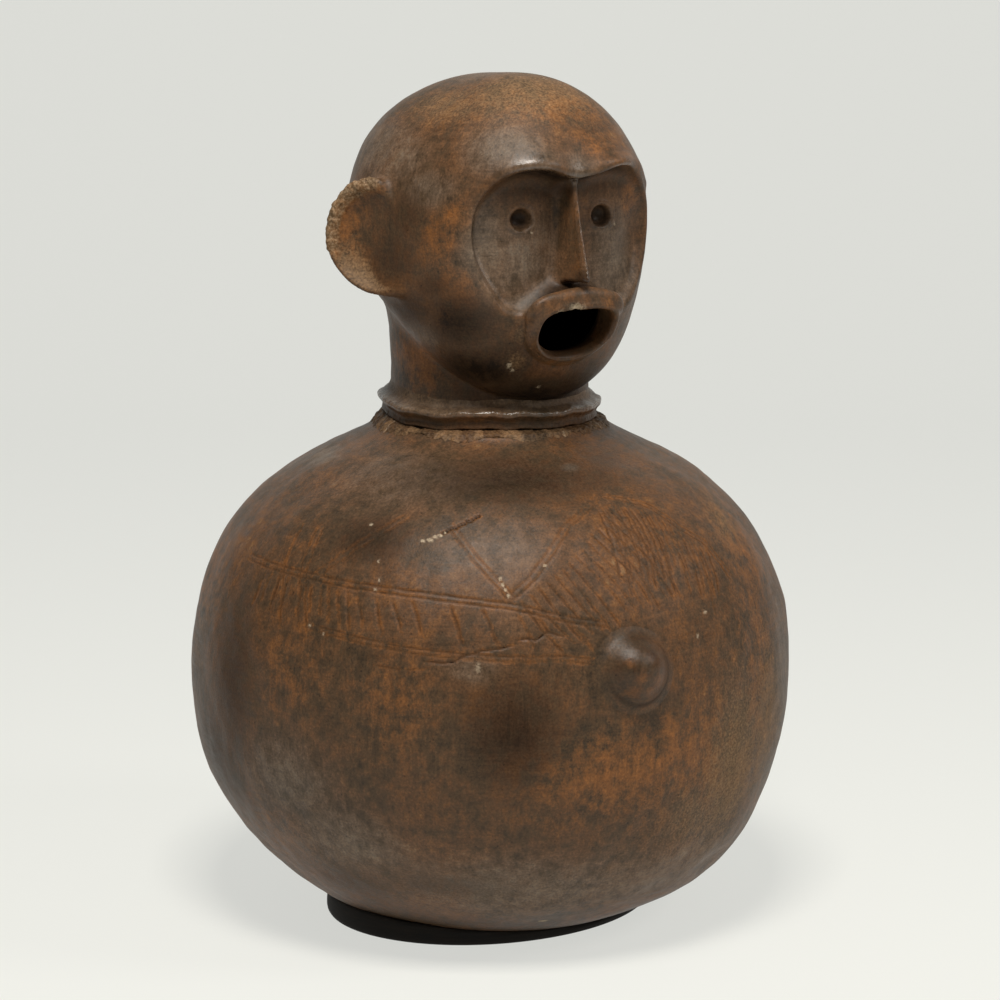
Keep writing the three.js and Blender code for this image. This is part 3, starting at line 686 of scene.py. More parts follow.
def pot_wall(name, node, outer, inner, close):
    """A wall of the pot from lengths of its outer and inner lines and the points that close it."""
    r, z = np.interp(outer, OUT_S, OUT_R), np.interp(outer, OUT_S, OUT_Z)
    skin = hand_turned(r[:, None], z[:, None], turns[None, :])
    depth, trace = groove_depths(skin, turns, outer)
    out = normals_of(skin)
    calm = (step(z, 2, 30) * (1 - step(z, 325, 342)))[:, None]
    beside_dent = (np.degrees(turns) - DENT_TURN) / 6
    dent = DENT_DEPTH * np.exp(-(beside_dent**2) - ((z[:, None] - DENT_Z) / 10) ** 2)
    rise = hand_work(skin) * calm - depth - dent
    skin = skin + out * rise[..., None]
    inner_r, inner_z = inner_line(inner)
    all_round = np.ones(len(turns))
    lining_line = [*close, *zip(inner_r[::-1], inner_z[::-1])]
    lining = np.array([hand_turned(a * all_round, b * all_round, turns) for a, b in lining_line])
    points = np.concatenate([skin, lining] if outer[0] == 0 else [skin, lining, skin[:1]])
    marks = pot_marks(points)
    rows = len(outer)
    scored = np.clip(trace / 0.5, 0, 1)
    cut_rows = slice(0, rows)
    # Deep cracks and pits are darkened, the cut lines a little darker, and red-brown round them
    lay(marks, SMOKE_AND_SHADE, 0.95 * (depth > BLACKENED), cut_rows)
    lay(marks, SMOKE_AND_SHADE, 0.4 * scored, cut_rows)
    lay(marks, FLASH, 0.35 * np.clip(trace / 0.12, 0, 1), cut_rows)
    # Painted shade on the inside wall of the pot
    marks[SMOKE_AND_SHADE][rows : rows + len(lining)] = 0.8
    wall = wrapped_grid(name, points, marks, [0, rows - 1, len(points) - 1])
    dress(wall, node, "vessel", clay)
    return wall


seam_s = float(length_at(SEAM_Z))
band_s = float(length_at(205))
frieze_top_s = float(length_at(316))
ledge_s = float(OUT_S[-1])
bowl_outer = np.concatenate(
    [
        evenly(0, 78, 9)[:-1],
        evenly(78, 110, 3)[:-1],
        evenly(110, band_s, 2.9)[:-1],
        evenly(band_s, seam_s, 0.95),
    ]
)
bowl_inner = evenly(0, seam_s, 14)
bowl_inner_r, bowl_inner_z = inner_line(bowl_inner)
bowl_close = [(bowl_inner_r[-1] + WALL * 0.5, SEAM_Z), (bowl_inner_r[-1], SEAM_Z)]
pot_wall("body_bowl_clay", "body_bowl", bowl_outer, bowl_inner[:-1], bowl_close)
shoulder_outer = np.concatenate(
    [evenly(seam_s, frieze_top_s, 0.95)[:-1], evenly(frieze_top_s, ledge_s, 1.9)]
)
shoulder_inner = evenly(seam_s, float(length_at(318)), 14)
shoulder_inner_r, _ = inner_line(shoulder_inner)
shoulder_close = [
    (BORE_RADIUS + 12, LEDGE_Z),
    (BORE_RADIUS, LEDGE_Z),
    (BORE_RADIUS, LEDGE_Z - WALL),
    (BORE_RADIUS + 12, LEDGE_Z - WALL - 2.5),
]
pot_wall(
    "body_shoulder_clay", "body_shoulder",
    shoulder_outer, np.concatenate([[seam_s], shoulder_inner[1:]]), shoulder_close,
)


# Navel boss
# A ball of clay pressed on to the belly and smeared out at its foot, polished by hands.
BOSS_Z = 208
BOSS_TURN = 3.6
BOSS_PROFILE = [(0, 16.8), (4, 16.4), (8, 15.1), (12, 12.9), (15.8, 9.9), (19, 6.6), (21.8, 3.8),
                (24.6, 1.7), (27.5, 0.5), (30.5, -0.3)]  # distance out, lift off the pot
BOSS_ROOT = -4.0  # how far the hidden back lies under the skin
CHIPS = [(-9, -7, 4.5), (4, -5, 3.4), (-3, -13, 4), (11, 6, 3), (9, -12, 5)]  # aside, up, size


def on_pot(turn, s, lift):
    """Points over the pot's outside at angles and lengths along its outline, lifted off it."""
    def at(turn, s):
        return hand_turned(np.interp(s, OUT_S, OUT_R), np.interp(s, OUT_S, OUT_Z), turn)
    middle = at(turn, s)
    out = np.cross(at(turn + 1e-3, s) - at(turn - 1e-3, s), at(turn, s + 0.3) - at(turn, s - 0.3))
    out /= np.linalg.norm(out, axis=-1)[..., None]
    out = np.where(np.sum(out * (middle - (0, 0, 170)), -1)[..., None] > 0, out, -out)
    return middle + out * (hand_work(middle) + lift)[..., None]


profile = np.array(BOSS_PROFILE, float)
knots = np.linspace(0, 1, len(profile))
dense = np.linspace(0, 1, 40)
boss_r, boss_lift = [np.interp(dense, knots, column) for column in profile.T]
for _ in range(3):
    for values in (boss_r, boss_lift):
        values[1:-1] = (values[:-2] + 2 * values[1:-1] + values[2:]) / 4
swing = np.linspace(0, 2 * math.pi, 97)
oval = 1 + 0.03 * np.sin(2 * swing + 0.5) + 0.015 * np.sin(3 * swing)
side = boss_r[:, None] * np.cos(swing) * oval
up = boss_r[:, None] * np.sin(swing) * oval
side = np.concatenate([side, side[-1:] * 0.9, side[:1]])
up = np.concatenate([up, up[-1:] * 0.9, up[:1]])
lift = boss_lift[:, None] + 0.25 * np.sin(swing + 1) * (boss_r < 22)[:, None]
lift = np.concatenate([lift, np.full((2, len(swing)), BOSS_ROOT)])
boss_points = on_pot(
    math.radians(BOSS_TURN) + side / BODY_RADIUS, float(length_at(BOSS_Z)) + up, lift
)
boss_marks = pot_marks(boss_points)
# Painted shade round the foot of the boss, strongest below it and on the side towards the figure's left,
# and in a patch above on that side; the dome is a little darker all over
foot = np.exp(-(((np.append(boss_r, [30, 0]) - 22.4) / 2.4) ** 2))[:, None]
foot = foot * (0.36 - 0.22 * np.sin(swing) - 0.14 * np.cos(swing))
dome = 0.3 * (1 - step(np.hypot(side, up), 17, 25))
shade = 0.55 * np.exp(-((side + 6) ** 2 + (up - 10) ** 2) / 50)
for darkened in (foot, dome, shade):
    lay(boss_marks, SMOKE_AND_SHADE, darkened)
for aside, above, size in CHIPS:
    chip = 0.9 * np.exp(-((side - aside) ** 2 + (up - above) ** 2) / size**2)
    lay(boss_marks, FLASH, chip)
boss = wrapped_grid("navel_boss_clay", boss_points, boss_marks)
dress(boss, "navel_boss", "vessel", clay)


# Head, neck, nose, lips and ears
# The head was coiled up hollow from the neck, and ears, nose and lips were pressed on while it was
# wet and smeared into it, so they are carved here as one body and parted where each was added.
NECK_FOOT_Z = 344.8
NECK_LINE = [(70, 344.8), (68.5, 356.8), (68, 385), (69, 410), (72.5, 432), (77.5, 452)]
CRANIUM = (-2.9, 495.2, 97.9, 95.6, 88.2, 0)  # y, z, half width, half depth, half height, tilt
FOREHEAD = (-42.3, 483.8, 86.3, 81.2, 99.9, 0)
JAW = (-16.6, 443.6, 75.9, 88.5, 27.5, 0.86)
CRANIUM_BLEND = 12.3
JAW_BLEND = 48.5
FACE_Y = -93.5
FACE_DISH = 5.5
FACE_HALF_WIDTH = 75
LEDGE_DEPTH = 23
LEDGE_RUN = 14
SIDE_RUN = 10
SIDE_DEPTH = 10
BROW = [(0, 505.5), (15, 507.5), (33, 512), (52, 509), (64, 497), (66, 481)]
CHEEK = [(61, 463), (54, 449), (46, 440), (35, 446), (18, 456), (0, 459)]
RIGHT_SIDE = 0.88  # the face reaches less far on the figure's right
EYE = (31.3, 491.4)
EYE_RADIUS = 8.4
EYE_DEPTH = 7.6
NOSE_ROOT = (-110, 512, 4)  # y of the ridge, z, half width
NOSE_TIP = (-126.3, 450, 8.4)
MOUTH = np.array([0, -104.9, 418.7])
MOUTH_UP = np.array([0, -0.487, 0.873])
MOUTH_OUT = np.array([0, -0.873, -0.487])
MOUTH_HALF_WIDTH = 27.8
MOUTH_HALF_HEIGHT = 19
MOUTH_CORNER_RISE = 4
MOUTH_SQUARE = 2.4  # 2 is an oval, more is squarer
LIP_HALF_WIDTH = 2.4
LIP_HALF_DEPTH = 6.3
LIP_CHIPS = [(-5, 21.5, 7, 3.8), (-17, 18.5, 7.5, 2.4), (-9, 22.5, 6, 2.8)]  # across, up, out, radius
EAR_PLACE = np.array([-99.5, -26, 477.5])
EAR_TURN = math.radians(55)
EAR_OUT, EAR_UP, EAR_DEEP = 41, 38.5, 14
EAR_RIM = 5.0


def joined(a, b, k):
    """The union of two fields with a fillet."""
    h = np.maximum(k - np.abs(a - b), 0) / k
    return np.minimum(a, b) - h * h * k / 4


def carved(a, b, k):
    """What is inside field a and outside field b, its new edge rounded."""
    return -joined(-a, b, k)


def egg(x, y, z, half):
    """Distance to an ellipsoid round the origin, below zero inside."""
    near = np.sqrt((x / half[0]) ** 2 + (y / half[1]) ** 2 + (z / half[2]) ** 2)
    slope = np.sqrt((x / half[0] ** 2) ** 2 + (y / half[1] ** 2) ** 2 + (z / half[2] ** 2) ** 2)
    return near * (near - 1) / np.maximum(slope, 1e-9)


def tilted_egg(p, shape):
    y0, z0, a, b, c, tilt = shape
    y = (p[..., 1] - y0) * math.cos(tilt) + (p[..., 2] - z0) * math.sin(tilt)
    z = (p[..., 2] - z0) * math.cos(tilt) - (p[..., 1] - y0) * math.sin(tilt)
    return egg(p[..., 0], y, z, (a, b, c))


def skull(p):
    """Head without its face: skull, forehead and jaw, the brow swelling over each eye."""
    whole = joined(tilted_egg(p, CRANIUM), tilted_egg(p, FOREHEAD), CRANIUM_BLEND)
    whole = joined(whole, tilted_egg(p, JAW), JAW_BLEND)
    x, y, z = np.moveaxis(p, -1, 0)
    swell = 4.5 * np.exp(-(((np.abs(x) - 33) / 24) ** 2) - ((z - 531) / 13) ** 2)
    drawn = 5 * np.exp(-((x / 15) ** 2) - ((z - 517) / 15) ** 2)
    rolled = 2.0 * np.exp(-(((heart(x, z) - 17) / 5) ** 2)) * step(z, 500, 512)
    return whole - np.where(y < 0, swell - drawn + rolled, 0)


def spline(points, steps):
    """Points on a Catmull-Rom curve through a few points."""
    points = np.array(points, float)
    padded = np.vstack([2 * points[0] - points[1], points, 2 * points[-1] - points[-2]])
    made = []
    for a, b, c, d in zip(padded, padded[1:], padded[2:], padded[3:]):
        for t in np.arange(steps) / steps:
            bend = (2 * a - 5 * b + 4 * c - d) * t**2 + (3 * b - a - 3 * c + d) * t**3
            made.append(0.5 * (2 * b + (c - a) * t + bend))
    return np.array(made + [points[-1]])


half_heart = spline([*BROW, *CHEEK], 12)
HEART = np.vstack([half_heart, (half_heart * (-RIGHT_SIDE, 1))[-2:0:-1]])
chart_x = np.arange(-130, 131, 1.0)
chart_z = np.arange(330, 595, 1.0)
chart = np.stack(np.meshgrid(chart_x, chart_z, indexing="ij"), -1)
heart_away = np.full(chart.shape[:2], 1e9)
heart_in = np.zeros(chart.shape[:2], bool)
for a, b in zip(HEART, np.roll(HEART, -1, 0)):
    way = b - a
    t = np.clip(((chart - a) @ way) / (way @ way), 0, 1)
    heart_away = np.minimum(heart_away, np.linalg.norm(chart - a - t[..., None] * way, axis=-1))
    crosses = (a[1] > chart[..., 1]) != (b[1] > chart[..., 1])
    if b[1] != a[1]:
        heart_in ^= crosses & (chart[..., 0] < a[0] + (chart[..., 1] - a[1]) * way[0] / way[1])
heart_chart = np.where(heart_in, -heart_away, heart_away)


def heart(x, z):
    """Distance to the outline of the face, looking from the front, below zero inside it."""
    u = np.clip(x - chart_x[0], 0, len(chart_x) - 1.001)
    v = np.clip(z - chart_z[0], 0, len(chart_z) - 1.001)
    i, j = u.astype(int), v.astype(int)
    u, v = u - i, v - j
    low = heart_chart[i, j] * (1 - u) + heart_chart[i + 1, j] * u
    high = heart_chart[i, j + 1] * (1 - u) + heart_chart[i + 1, j + 1] * u
    return low * (1 - v) + high * v


def face_hollow(p, deeper=0):
    """Clay taken away for the face: a dish that coves up into a ledge along its outline."""
    x, y, z = np.moveaxis(p, -1, 0)
    dished = FACE_DISH * (x / FACE_HALF_WIDTH) ** 2
    cheek = 8 * np.exp(-(((np.abs(x) - 66) / 17) ** 2) - ((z - 474) / 32) ** 2)
    rise = FACE_Y + deeper + dished + cheek - y
    beside_face = step(np.abs(x), 38, 52) * (1 - step(z, 484, 506))
    run = LEDGE_RUN + (SIDE_RUN - LEDGE_RUN) * beside_face
    depth = LEDGE_DEPTH + (SIDE_DEPTH - LEDGE_DEPTH) * beside_face
    across = heart(x, z)
    floor = np.maximum(across, 0)
    side = np.maximum(run - run / depth * rise, 0)
    cove = np.hypot(floor, side) - run
    return np.where((across > 0) & (side > 0), cove, np.maximum(across - run, -rise))


def nose(p):
    """A blade that widens to a flat underside."""
    x, y, z = np.abs(p[..., 0]), p[..., 1], p[..., 2]
    t = np.clip((NOSE_ROOT[1] - z) / (NOSE_ROOT[1] - NOSE_TIP[1]), 0, 1)
    ridge = NOSE_ROOT[0] + (NOSE_TIP[0] - NOSE_ROOT[0]) * t**1.15
    half = NOSE_ROOT[2] + (NOSE_TIP[2] - NOSE_ROOT[2]) * t**1.4
    bridge = np.minimum(half * 0.2, 1.3)
    up = np.clip((FACE_Y - y) / (FACE_Y - ridge), 0, 1)
    width = bridge + (half - bridge) * (1 - up) ** 1.1
    sides = (x - width) * 0.88
    body = -joined(-sides, y - ridge, 2.4)
    under = NOSE_TIP[1] + 1.2 - 0.1 * x - z
    body = -joined(-body, -under, 2.2)
    return np.maximum(body, np.maximum(z - NOSE_ROOT[1] - 4, y - FACE_Y - 9))


def mouth_frame(p):
    """Distance out from the mouth's oval in its leaning plane, and distance in front of it."""
    q = p - MOUTH
    across = q[..., 0]
    up = q @ MOUTH_UP - MOUTH_CORNER_RISE * np.clip(across / MOUTH_HALF_WIDTH, -1.3, 1.3) ** 2
    wide, high = np.abs(across) / MOUTH_HALF_WIDTH, np.abs(up) / MOUTH_HALF_HEIGHT
    near = np.maximum(wide**MOUTH_SQUARE + high**MOUTH_SQUARE, 1e-6) ** (1 / MOUTH_SQUARE)
    wide, high = (wide / near) ** (MOUTH_SQUARE - 1), (high / near) ** (MOUTH_SQUARE - 1)
    slope = np.hypot(wide / MOUTH_HALF_WIDTH, high / MOUTH_HALF_HEIGHT)
    return (near - 1) / np.maximum(slope, 1e-6), q @ MOUTH_OUT


def mouth_place(across, up, out):
    return MOUTH + up * MOUTH_UP + out * MOUTH_OUT + np.array([across, 0, 0])


def lips(p):
    """One coil of clay bent round the mouth, pressed flatter at its outer edge."""
    margin, out = mouth_frame(p)
    coil = egg(margin - LIP_HALF_WIDTH, out, 0 * out, (LIP_HALF_WIDTH + 0.4, LIP_HALF_DEPTH, 1))
    below = 2.2 * step(MOUTH[2] - p[..., 2], 0, 12)
    skirt = egg(margin - 2.9 - below, out, 0 * out, (2.3, 4.4, 1))
    above = step(p[..., 2] - MOUTH[2], 2, 14)
    slope = egg(margin - 5.2, out + 1.5, 0 * out, (4.6, 4.6, 1)) + 3 * (1 - above)
    return joined(joined(coil, skirt, 0.9), slope, 3)


def ear_frame(p, side):
    """Place in an ear: towards its far rim, up, and out of its opening."""
    q = p * (-side, 1, 1) - EAR_PLACE
    far = -math.cos(EAR_TURN) * q[..., 0] + math.sin(EAR_TURN) * q[..., 1]
    out = -math.sin(EAR_TURN) * q[..., 0] - math.cos(EAR_TURN) * q[..., 1]
    return far, q[..., 2], out


def ear(p, side):
    """A bowl of clay pressed on by its near edge, its upper rim thick and its lower rim thin."""
    far, up, out = ear_frame(p, side)
    pressed_at = far
    narrow = 9 * step(up, -14, 22)
    far = (far - narrow) * EAR_OUT / (EAR_OUT - narrow)
    thick = EAR_RIM + 1.6 * step(up + 0.5 * far, 0, 36) - 1.4 * step(-up, -5, 25)
    outer = egg(far, up, out, (EAR_OUT, EAR_UP, EAR_DEEP))
    bottom = (EAR_OUT - EAR_RIM, EAR_UP - EAR_RIM, EAR_DEEP - 3.6)
    inner = egg(far, up, out - 0.8, bottom) + (thick - EAR_RIM) * step(out, -9, -1)
    bowl = -joined(-carved(outer, inner, 2), 0.8 - out, 2.5)
    near_edge = -14 + 0.17 * (up + 38)
    return -joined(-bowl, pressed_at - near_edge, 5)


def neck(p):
    radii, heights = np.array(NECK_LINE).T
    round_part = np.hypot(p[..., 0], p[..., 1]) - np.interp(p[..., 2], heights, radii)
    return np.maximum(round_part, p[..., 2] - 446)


def hollow(p):
    """Inside of the head and the neck."""
    inside = carved(skull(p) + WALL, face_hollow(p, WALL), 6)
    passage = np.maximum(np.hypot(p[..., 0], p[..., 1]) - BORE_RADIUS, p[..., 2] - 440)
    return joined(inside, passage, 6)


def bare_head(p):
    """Head with its face cut back, eyes pressed in and rims raised round them."""
    x, y, z = np.abs(p[..., 0]), p[..., 1], p[..., 2]
    soft = 1.7 + 3.0 * step(500 - z, 0, 50)
    head = carved(skull(p), face_hollow(p), soft)
    aside, over = x - EYE[0], z - EYE[1]
    across = np.hypot(aside, over * 1.06)
    front = step(-y, 70, 90)
    head = head - front * 0.8 * np.exp(-(((across - EYE_RADIUS - 1.2) / 1.3) ** 2))
    pit = egg(aside, y - FACE_Y - 0.3, over, (EYE_RADIUS, EYE_DEPTH + 0.5, EYE_RADIUS - 0.8))
    return carved(head, pit, 1.4)


def added(p):
    """Each piece's own field, in the order of PIECES."""
    return [bare_head(p), nose(p), lips(p), ear(p, -1), ear(p, 1), neck(p)]


PIECES = ("head_shell", "nose", "lip_ring", "ear_right", "ear_left", "neck_tube")


def whole_head(p):
    head, nose_part, lip_part, right, left, neck_part = added(p)
    solid = joined(head, neck_part, 3.5 + 5 * step(p[..., 1], -40, 40))
    solid = joined(solid, joined(right, left, 1), 11)
    solid = joined(solid, nose_part, 5.5)
    solid = joined(solid, lip_part, 3 + 3 * step(p[..., 2], 422, 434))
    deep = np.minimum(mouth_frame(p)[1], 0)
    margin, out = mouth_frame(p - 0.5 * deep[..., None] * MOUTH_UP)
    solid = carved(solid, np.maximum(margin, -out - 40), 1.6)
    for across, up, front, radius in LIP_CHIPS:
        away = np.linalg.norm(p - mouth_place(across, up, front), axis=-1)
        solid = carved(solid, away - radius, 0.8)
    solid = carved(solid, hollow(p), 2)
    return np.maximum(solid, NECK_FOOT_Z - p[..., 2])


CELL = 1.25
COARSE = 4  # every so many points of the grid are tried first
LOW = np.array([-128.0, -131.0, 342.0])
COUNT = np.ceil((np.array([128.0, 104.0, 588.0]) - LOW) / CELL / COARSE).astype(int) * COARSE + 1


def sampled(field):
    """A field on the grid: in full near its surface, and only its sign elsewhere."""
    axes = [LOW[i] + CELL * np.arange(COUNT[i]) for i in range(3)]
    rough = field(np.stack(np.meshgrid(*[a[::COARSE] for a in axes], indexing="ij"), -1))
    for axis in range(3):
        rough = np.repeat(rough, COARSE, axis)
        rough = np.take(rough, np.arange(COUNT[axis]), axis)
    values = rough.astype(np.float32)
    near = np.abs(values) < 2.2 * CELL * COARSE
    for i in range(0, COUNT[0], 16):
        at = np.argwhere(near[i : i + 16]) + (i, 0, 0)
        values[tuple(at.T)] = field(LOW + CELL * at)
    return values


def surface(values):
    """Points and triangles of the surface where a sampled field is zero."""
    inside = values < 0
    corners = np.array([(k >> 2 & 1, k >> 1 & 1, k & 1) for k in range(8)])
    total = np.zeros(COUNT - 1, np.uint8)
    for c in corners:
        total += inside[tuple(slice(start, start + n - 1) for start, n in zip(c, COUNT))]
    mixed = (total > 0) & (total < 8)
    at = np.argwhere(mixed)
    number = np.full(mixed.shape, -1, np.int32)
    number[mixed] = np.arange(len(at))
    f = np.stack([values[tuple((at + c).T)] for c in corners], 1)
    place = np.zeros((len(at), 3))
    hits = np.zeros(len(at))
    for a in range(8):
        for b in (a | 1, a | 2, a | 4):
            crossed = (f[:, a] < 0) != (f[:, b] < 0)
            t = np.where(crossed, f[:, a] / np.where(crossed, f[:, a] - f[:, b], 1), 0)
            place += np.where(crossed[:, None], corners[a] + t[:, None] * (corners[b] - corners[a]), 0)
            hits += crossed
    found = LOW + CELL * (at + place / hits[:, None])
    quads = []
    for axis in range(3):
        u, v = np.delete(np.eye(3, dtype=int), axis, 0)
        change = np.diff(inside.astype(np.int8), axis=axis)
        edge = np.argwhere(change)
        rings = [number[tuple((edge - back).T)] for back in (u + v, v, 0 * u, u)]
        quad = np.stack(rings, 1)
        turned = (change[tuple(edge.T)] > 0) != (axis == 1)
        quads.append(np.where(turned[:, None], quad, quad[:, ::-1]))
    quads = np.concatenate(quads)
    return found, np.concatenate([quads[:, [0, 1, 2]], quads[:, [0, 2, 3]]])


def slope_of(field, places):
    """Growth of a field over each millimetre along the three axes, and the square of its slope."""
    grows = np.stack([field(places + e) - field(places - e) for e in np.eye(3) * 0.5], -1)
    return grows, np.maximum(np.sum(grows**2, 1), 0.2)


def settled(field, found):
    """Points moved on to the surface of a field."""
    for _ in range(2):
        grows, steep = slope_of(field, found)
        found = found - grows * np.clip(field(found) / steep, -CELL, CELL)[:, None]
    return found


def corner_normals(found, faces):
    """Outward normals at the points of a mesh of triangles."""
    face = np.cross(found[faces[:, 1]] - found[faces[:, 0]], found[faces[:, 2]] - found[faces[:, 0]])
    sums = [np.bincount(faces.ravel(), np.repeat(face[:, i], 3), len(found)) for i in range(3)]
    out = np.stack(sums, 1)
    return out / np.maximum(np.linalg.norm(out, axis=1), 1e-12)[:, None]


skin_points, skin_faces = surface(sampled(whole_head))
skin_points = settled(whole_head, skin_points)

# The inner wall and the back of the head are plain, so they keep few of their triangles
plain = np.abs(hollow(skin_points)) < 0.3
behind = (skin_points[:, 1] > -25) & (skin_points[:, 2] > 430)
plain |= behind & (ear(skin_points, -1) > 5) & (ear(skin_points, 1) > 5)
bpy.ops.object.select_all(action="DESELECT")
rough_mesh = bpy.data.meshes.new("head_rough")
rough_mesh.from_pydata(skin_points, [], skin_faces)
rough_head = bpy.data.objects.new("head_rough", rough_mesh)
bpy.context.collection.objects.link(rough_head)
bpy.context.view_layer.objects.active = rough_head
thinned = rough_head.vertex_groups.new(name="plain")
thinned.add(np.flatnonzero(plain).tolist(), 1, "REPLACE")
thin = rough_head.modifiers.new("thin", "DECIMATE")
thin.ratio = 1 - 0.82 * plain[skin_faces].all(1).mean()
thin.vertex_group = "plain"
bpy.ops.object.modifier_apply(modifier="thin")
skin_points = np.empty(len(rough_mesh.vertices) * 3)
rough_mesh.vertices.foreach_get("co", skin_points)
skin_points = skin_points.reshape(-1, 3)
skin_faces = np.empty(len(rough_mesh.polygons) * 3, int)
rough_mesh.polygons.foreach_get("vertices", skin_faces)
skin_faces = skin_faces.reshape(-1, 3)
bpy.data.objects.remove(rough_head)
bpy.data.meshes.remove(rough_mesh)

# Hand work: a gentle unevenness and a crumbled rim on the ears
skin_out = corner_normals(skin_points, skin_faces)
outside = step(hollow(skin_points), 2, 6)
torn = np.zeros(len(skin_points))
for side in (-1, 1):
    far, up, out = ear_frame(skin_points, side)
    upper = step(up + 0.6 * far, 2, 16) * step(out, -4.5, -1.5) * step(bare_head(skin_points), 5, 9)
    torn = np.maximum(torn, upper * (ear(skin_points, side) < 3))
uneven = 0.35 * lumps(skin_points, paddled) + 0.14 * lumps(skin_points, pinched) - 0.35
uneven = uneven * outside * (1 - step(skin_points[:, 2], 560, 580))
uneven = uneven - torn * (0.55 + 0.55 * lumps(skin_points, crumbled))
skin_points = skin_points + skin_out * uneven[:, None]
skin_out = corner_normals(skin_points, skin_faces)

# Where the fire and the years left marks on the head, and where shade, sheen and light from above are
# painted: place, size, strength
HEAD_MARKS = {
    SMOKE_AND_SHADE: [
        # The entries of the next two lines, under the jaw and chin and along the jaw line, are smoke and
        # painted shade
        ((-50, -70, 390), (46, 34, 17), 1.0), ((0, -68, 374), (66, 34, 24), 1.0),
        ((-86, -40, 430), (22, 40, 14), 0.6), ((-70, -74, 425), (26, 24, 20), 0.85),
        ((-92, -45, 494), (16, 26, 24), 0.35), ((-40, -92, 400), (26, 18, 14), 0.5),
        # These two are painted shade, under the brow ledge and under the nose
        ((0, -98, 512), (72, 14, 8), 0.55), ((2, -122, 453), (9, 8, 5), 0.8),
        ((26, -104, 424), (8, 10, 14), 0.5), ((-80, -62, 446), (12, 20, 10), 0.5),
        (mouth_place(-6, -19, 3), (22, 14, 7), 0.4), ((-92, -30, 462), (16, 26, 26), 0.45),
        ((92, -30, 462), (16, 40, 40), 0.5), ((60, 60, 480), (50, 50, 40), 0.5),
    ],
    FLASH: [
        ((-75, -81, 495), (10, 14, 12), 0.5), ((-80, -71, 480), (13, 16, 16), 0.55),
        ((-70, -80, 446), (14, 14, 16), 0.65), ((-5, -90, 563), (40, 34, 9), 0.4),
        ((11, -110, 540), (8, 10, 8), 0.5), ((56, -90, 502), (6, 12, 14), 0.6),
        ((-66, -18, 395), (16, 28, 18), 0.85), ((-10, -94, 390), (22, 10, 9), 0.6),
        ((40, 80, 520), (50, 40, 30), 0.4),
    ],
    OCHRE: [
        ((-33, -88, 398), (7, 8, 8), 0.35), ((-33, -99, 416), (9, 8, 10), 0.25),
        # These two, on the crown, are pale matt ochre and also painted top light that makes the crown
        # paler under the overhead lamp
        ((-10, -70, 572), (60, 40, 22), 0.42), ((-60, -40, 566), (30, 40, 16), 0.35),
    ],
    GREY_AND_SHEEN: [
        # Grey bloom, and painted sheen and highlights: on the face's dish and its left edge, along the
        # brow's edge and on top of the crown
        ((-50, -96, 538), (30, 20, 15), 0.85), ((-60, -90, 470), (17, 14, 28), 0.95),
        ((-32, -92, 468), (24, 14, 26), 0.75), ((-82, -61, 511), (14, 30, 14), 0.5),
        ((-29, -100, 438), (17, 12, 7), 0.9), ((-88, -10, 536), (16, 50, 24), 0.6),
        ((42, -90, 463), (22, 14, 34), 0.7), ((-32, -111, 529), (22, 10, 8), 0.6),
        ((0, -114, 524), (12, 8, 12), 0.7), ((-79, -41, 412), (12, 20, 10), 0.6),
        ((60, -60, 548), (30, 30, 20), 0.5), ((0, 0, 585), (60, 60, 8), 0.5),
    ],
    CHALK: [
        (mouth_place(-5, 20.5, 5), (5, 5, 3), 0.95), (mouth_place(-17, 17, 6), (3, 4, 3), 0.8),
        ((-24, -92, 482.5), (1.2, 4, 1.2), 0.45), ((43, -92, 485), (1.0, 4, 1.6), 0.4),
        ((-37, -86, 395), (1.4, 3, 2.2), 0.6), ((-34, -86, 391), (1.2, 3, 1.2), 0.6),
        ((-12, -84, 378), (1.4, 3, 1.0), 0.5), ((8, -60, 583), (2, 3, 2), 0.7),
    ],
    SHINE: [
        ((-33, -112, 525), (19, 9, 9), 1.5), ((-3, -114, 520), (11, 8, 9), 1.25),
        ((0, -118, 480), (4, 11, 36), 1.35), ((0, -124, 457), (8, 6, 6), 1.3),
        ((33, -112, 526), (18, 9, 8), 1.1), (mouth_place(0, 0, 4), (36, 12, 26), 0.7),
        ((-50, -88, 468), (26, 16, 36), 0.6), ((45, -88, 468), (26, 16, 36), 0.4),
    ],
}


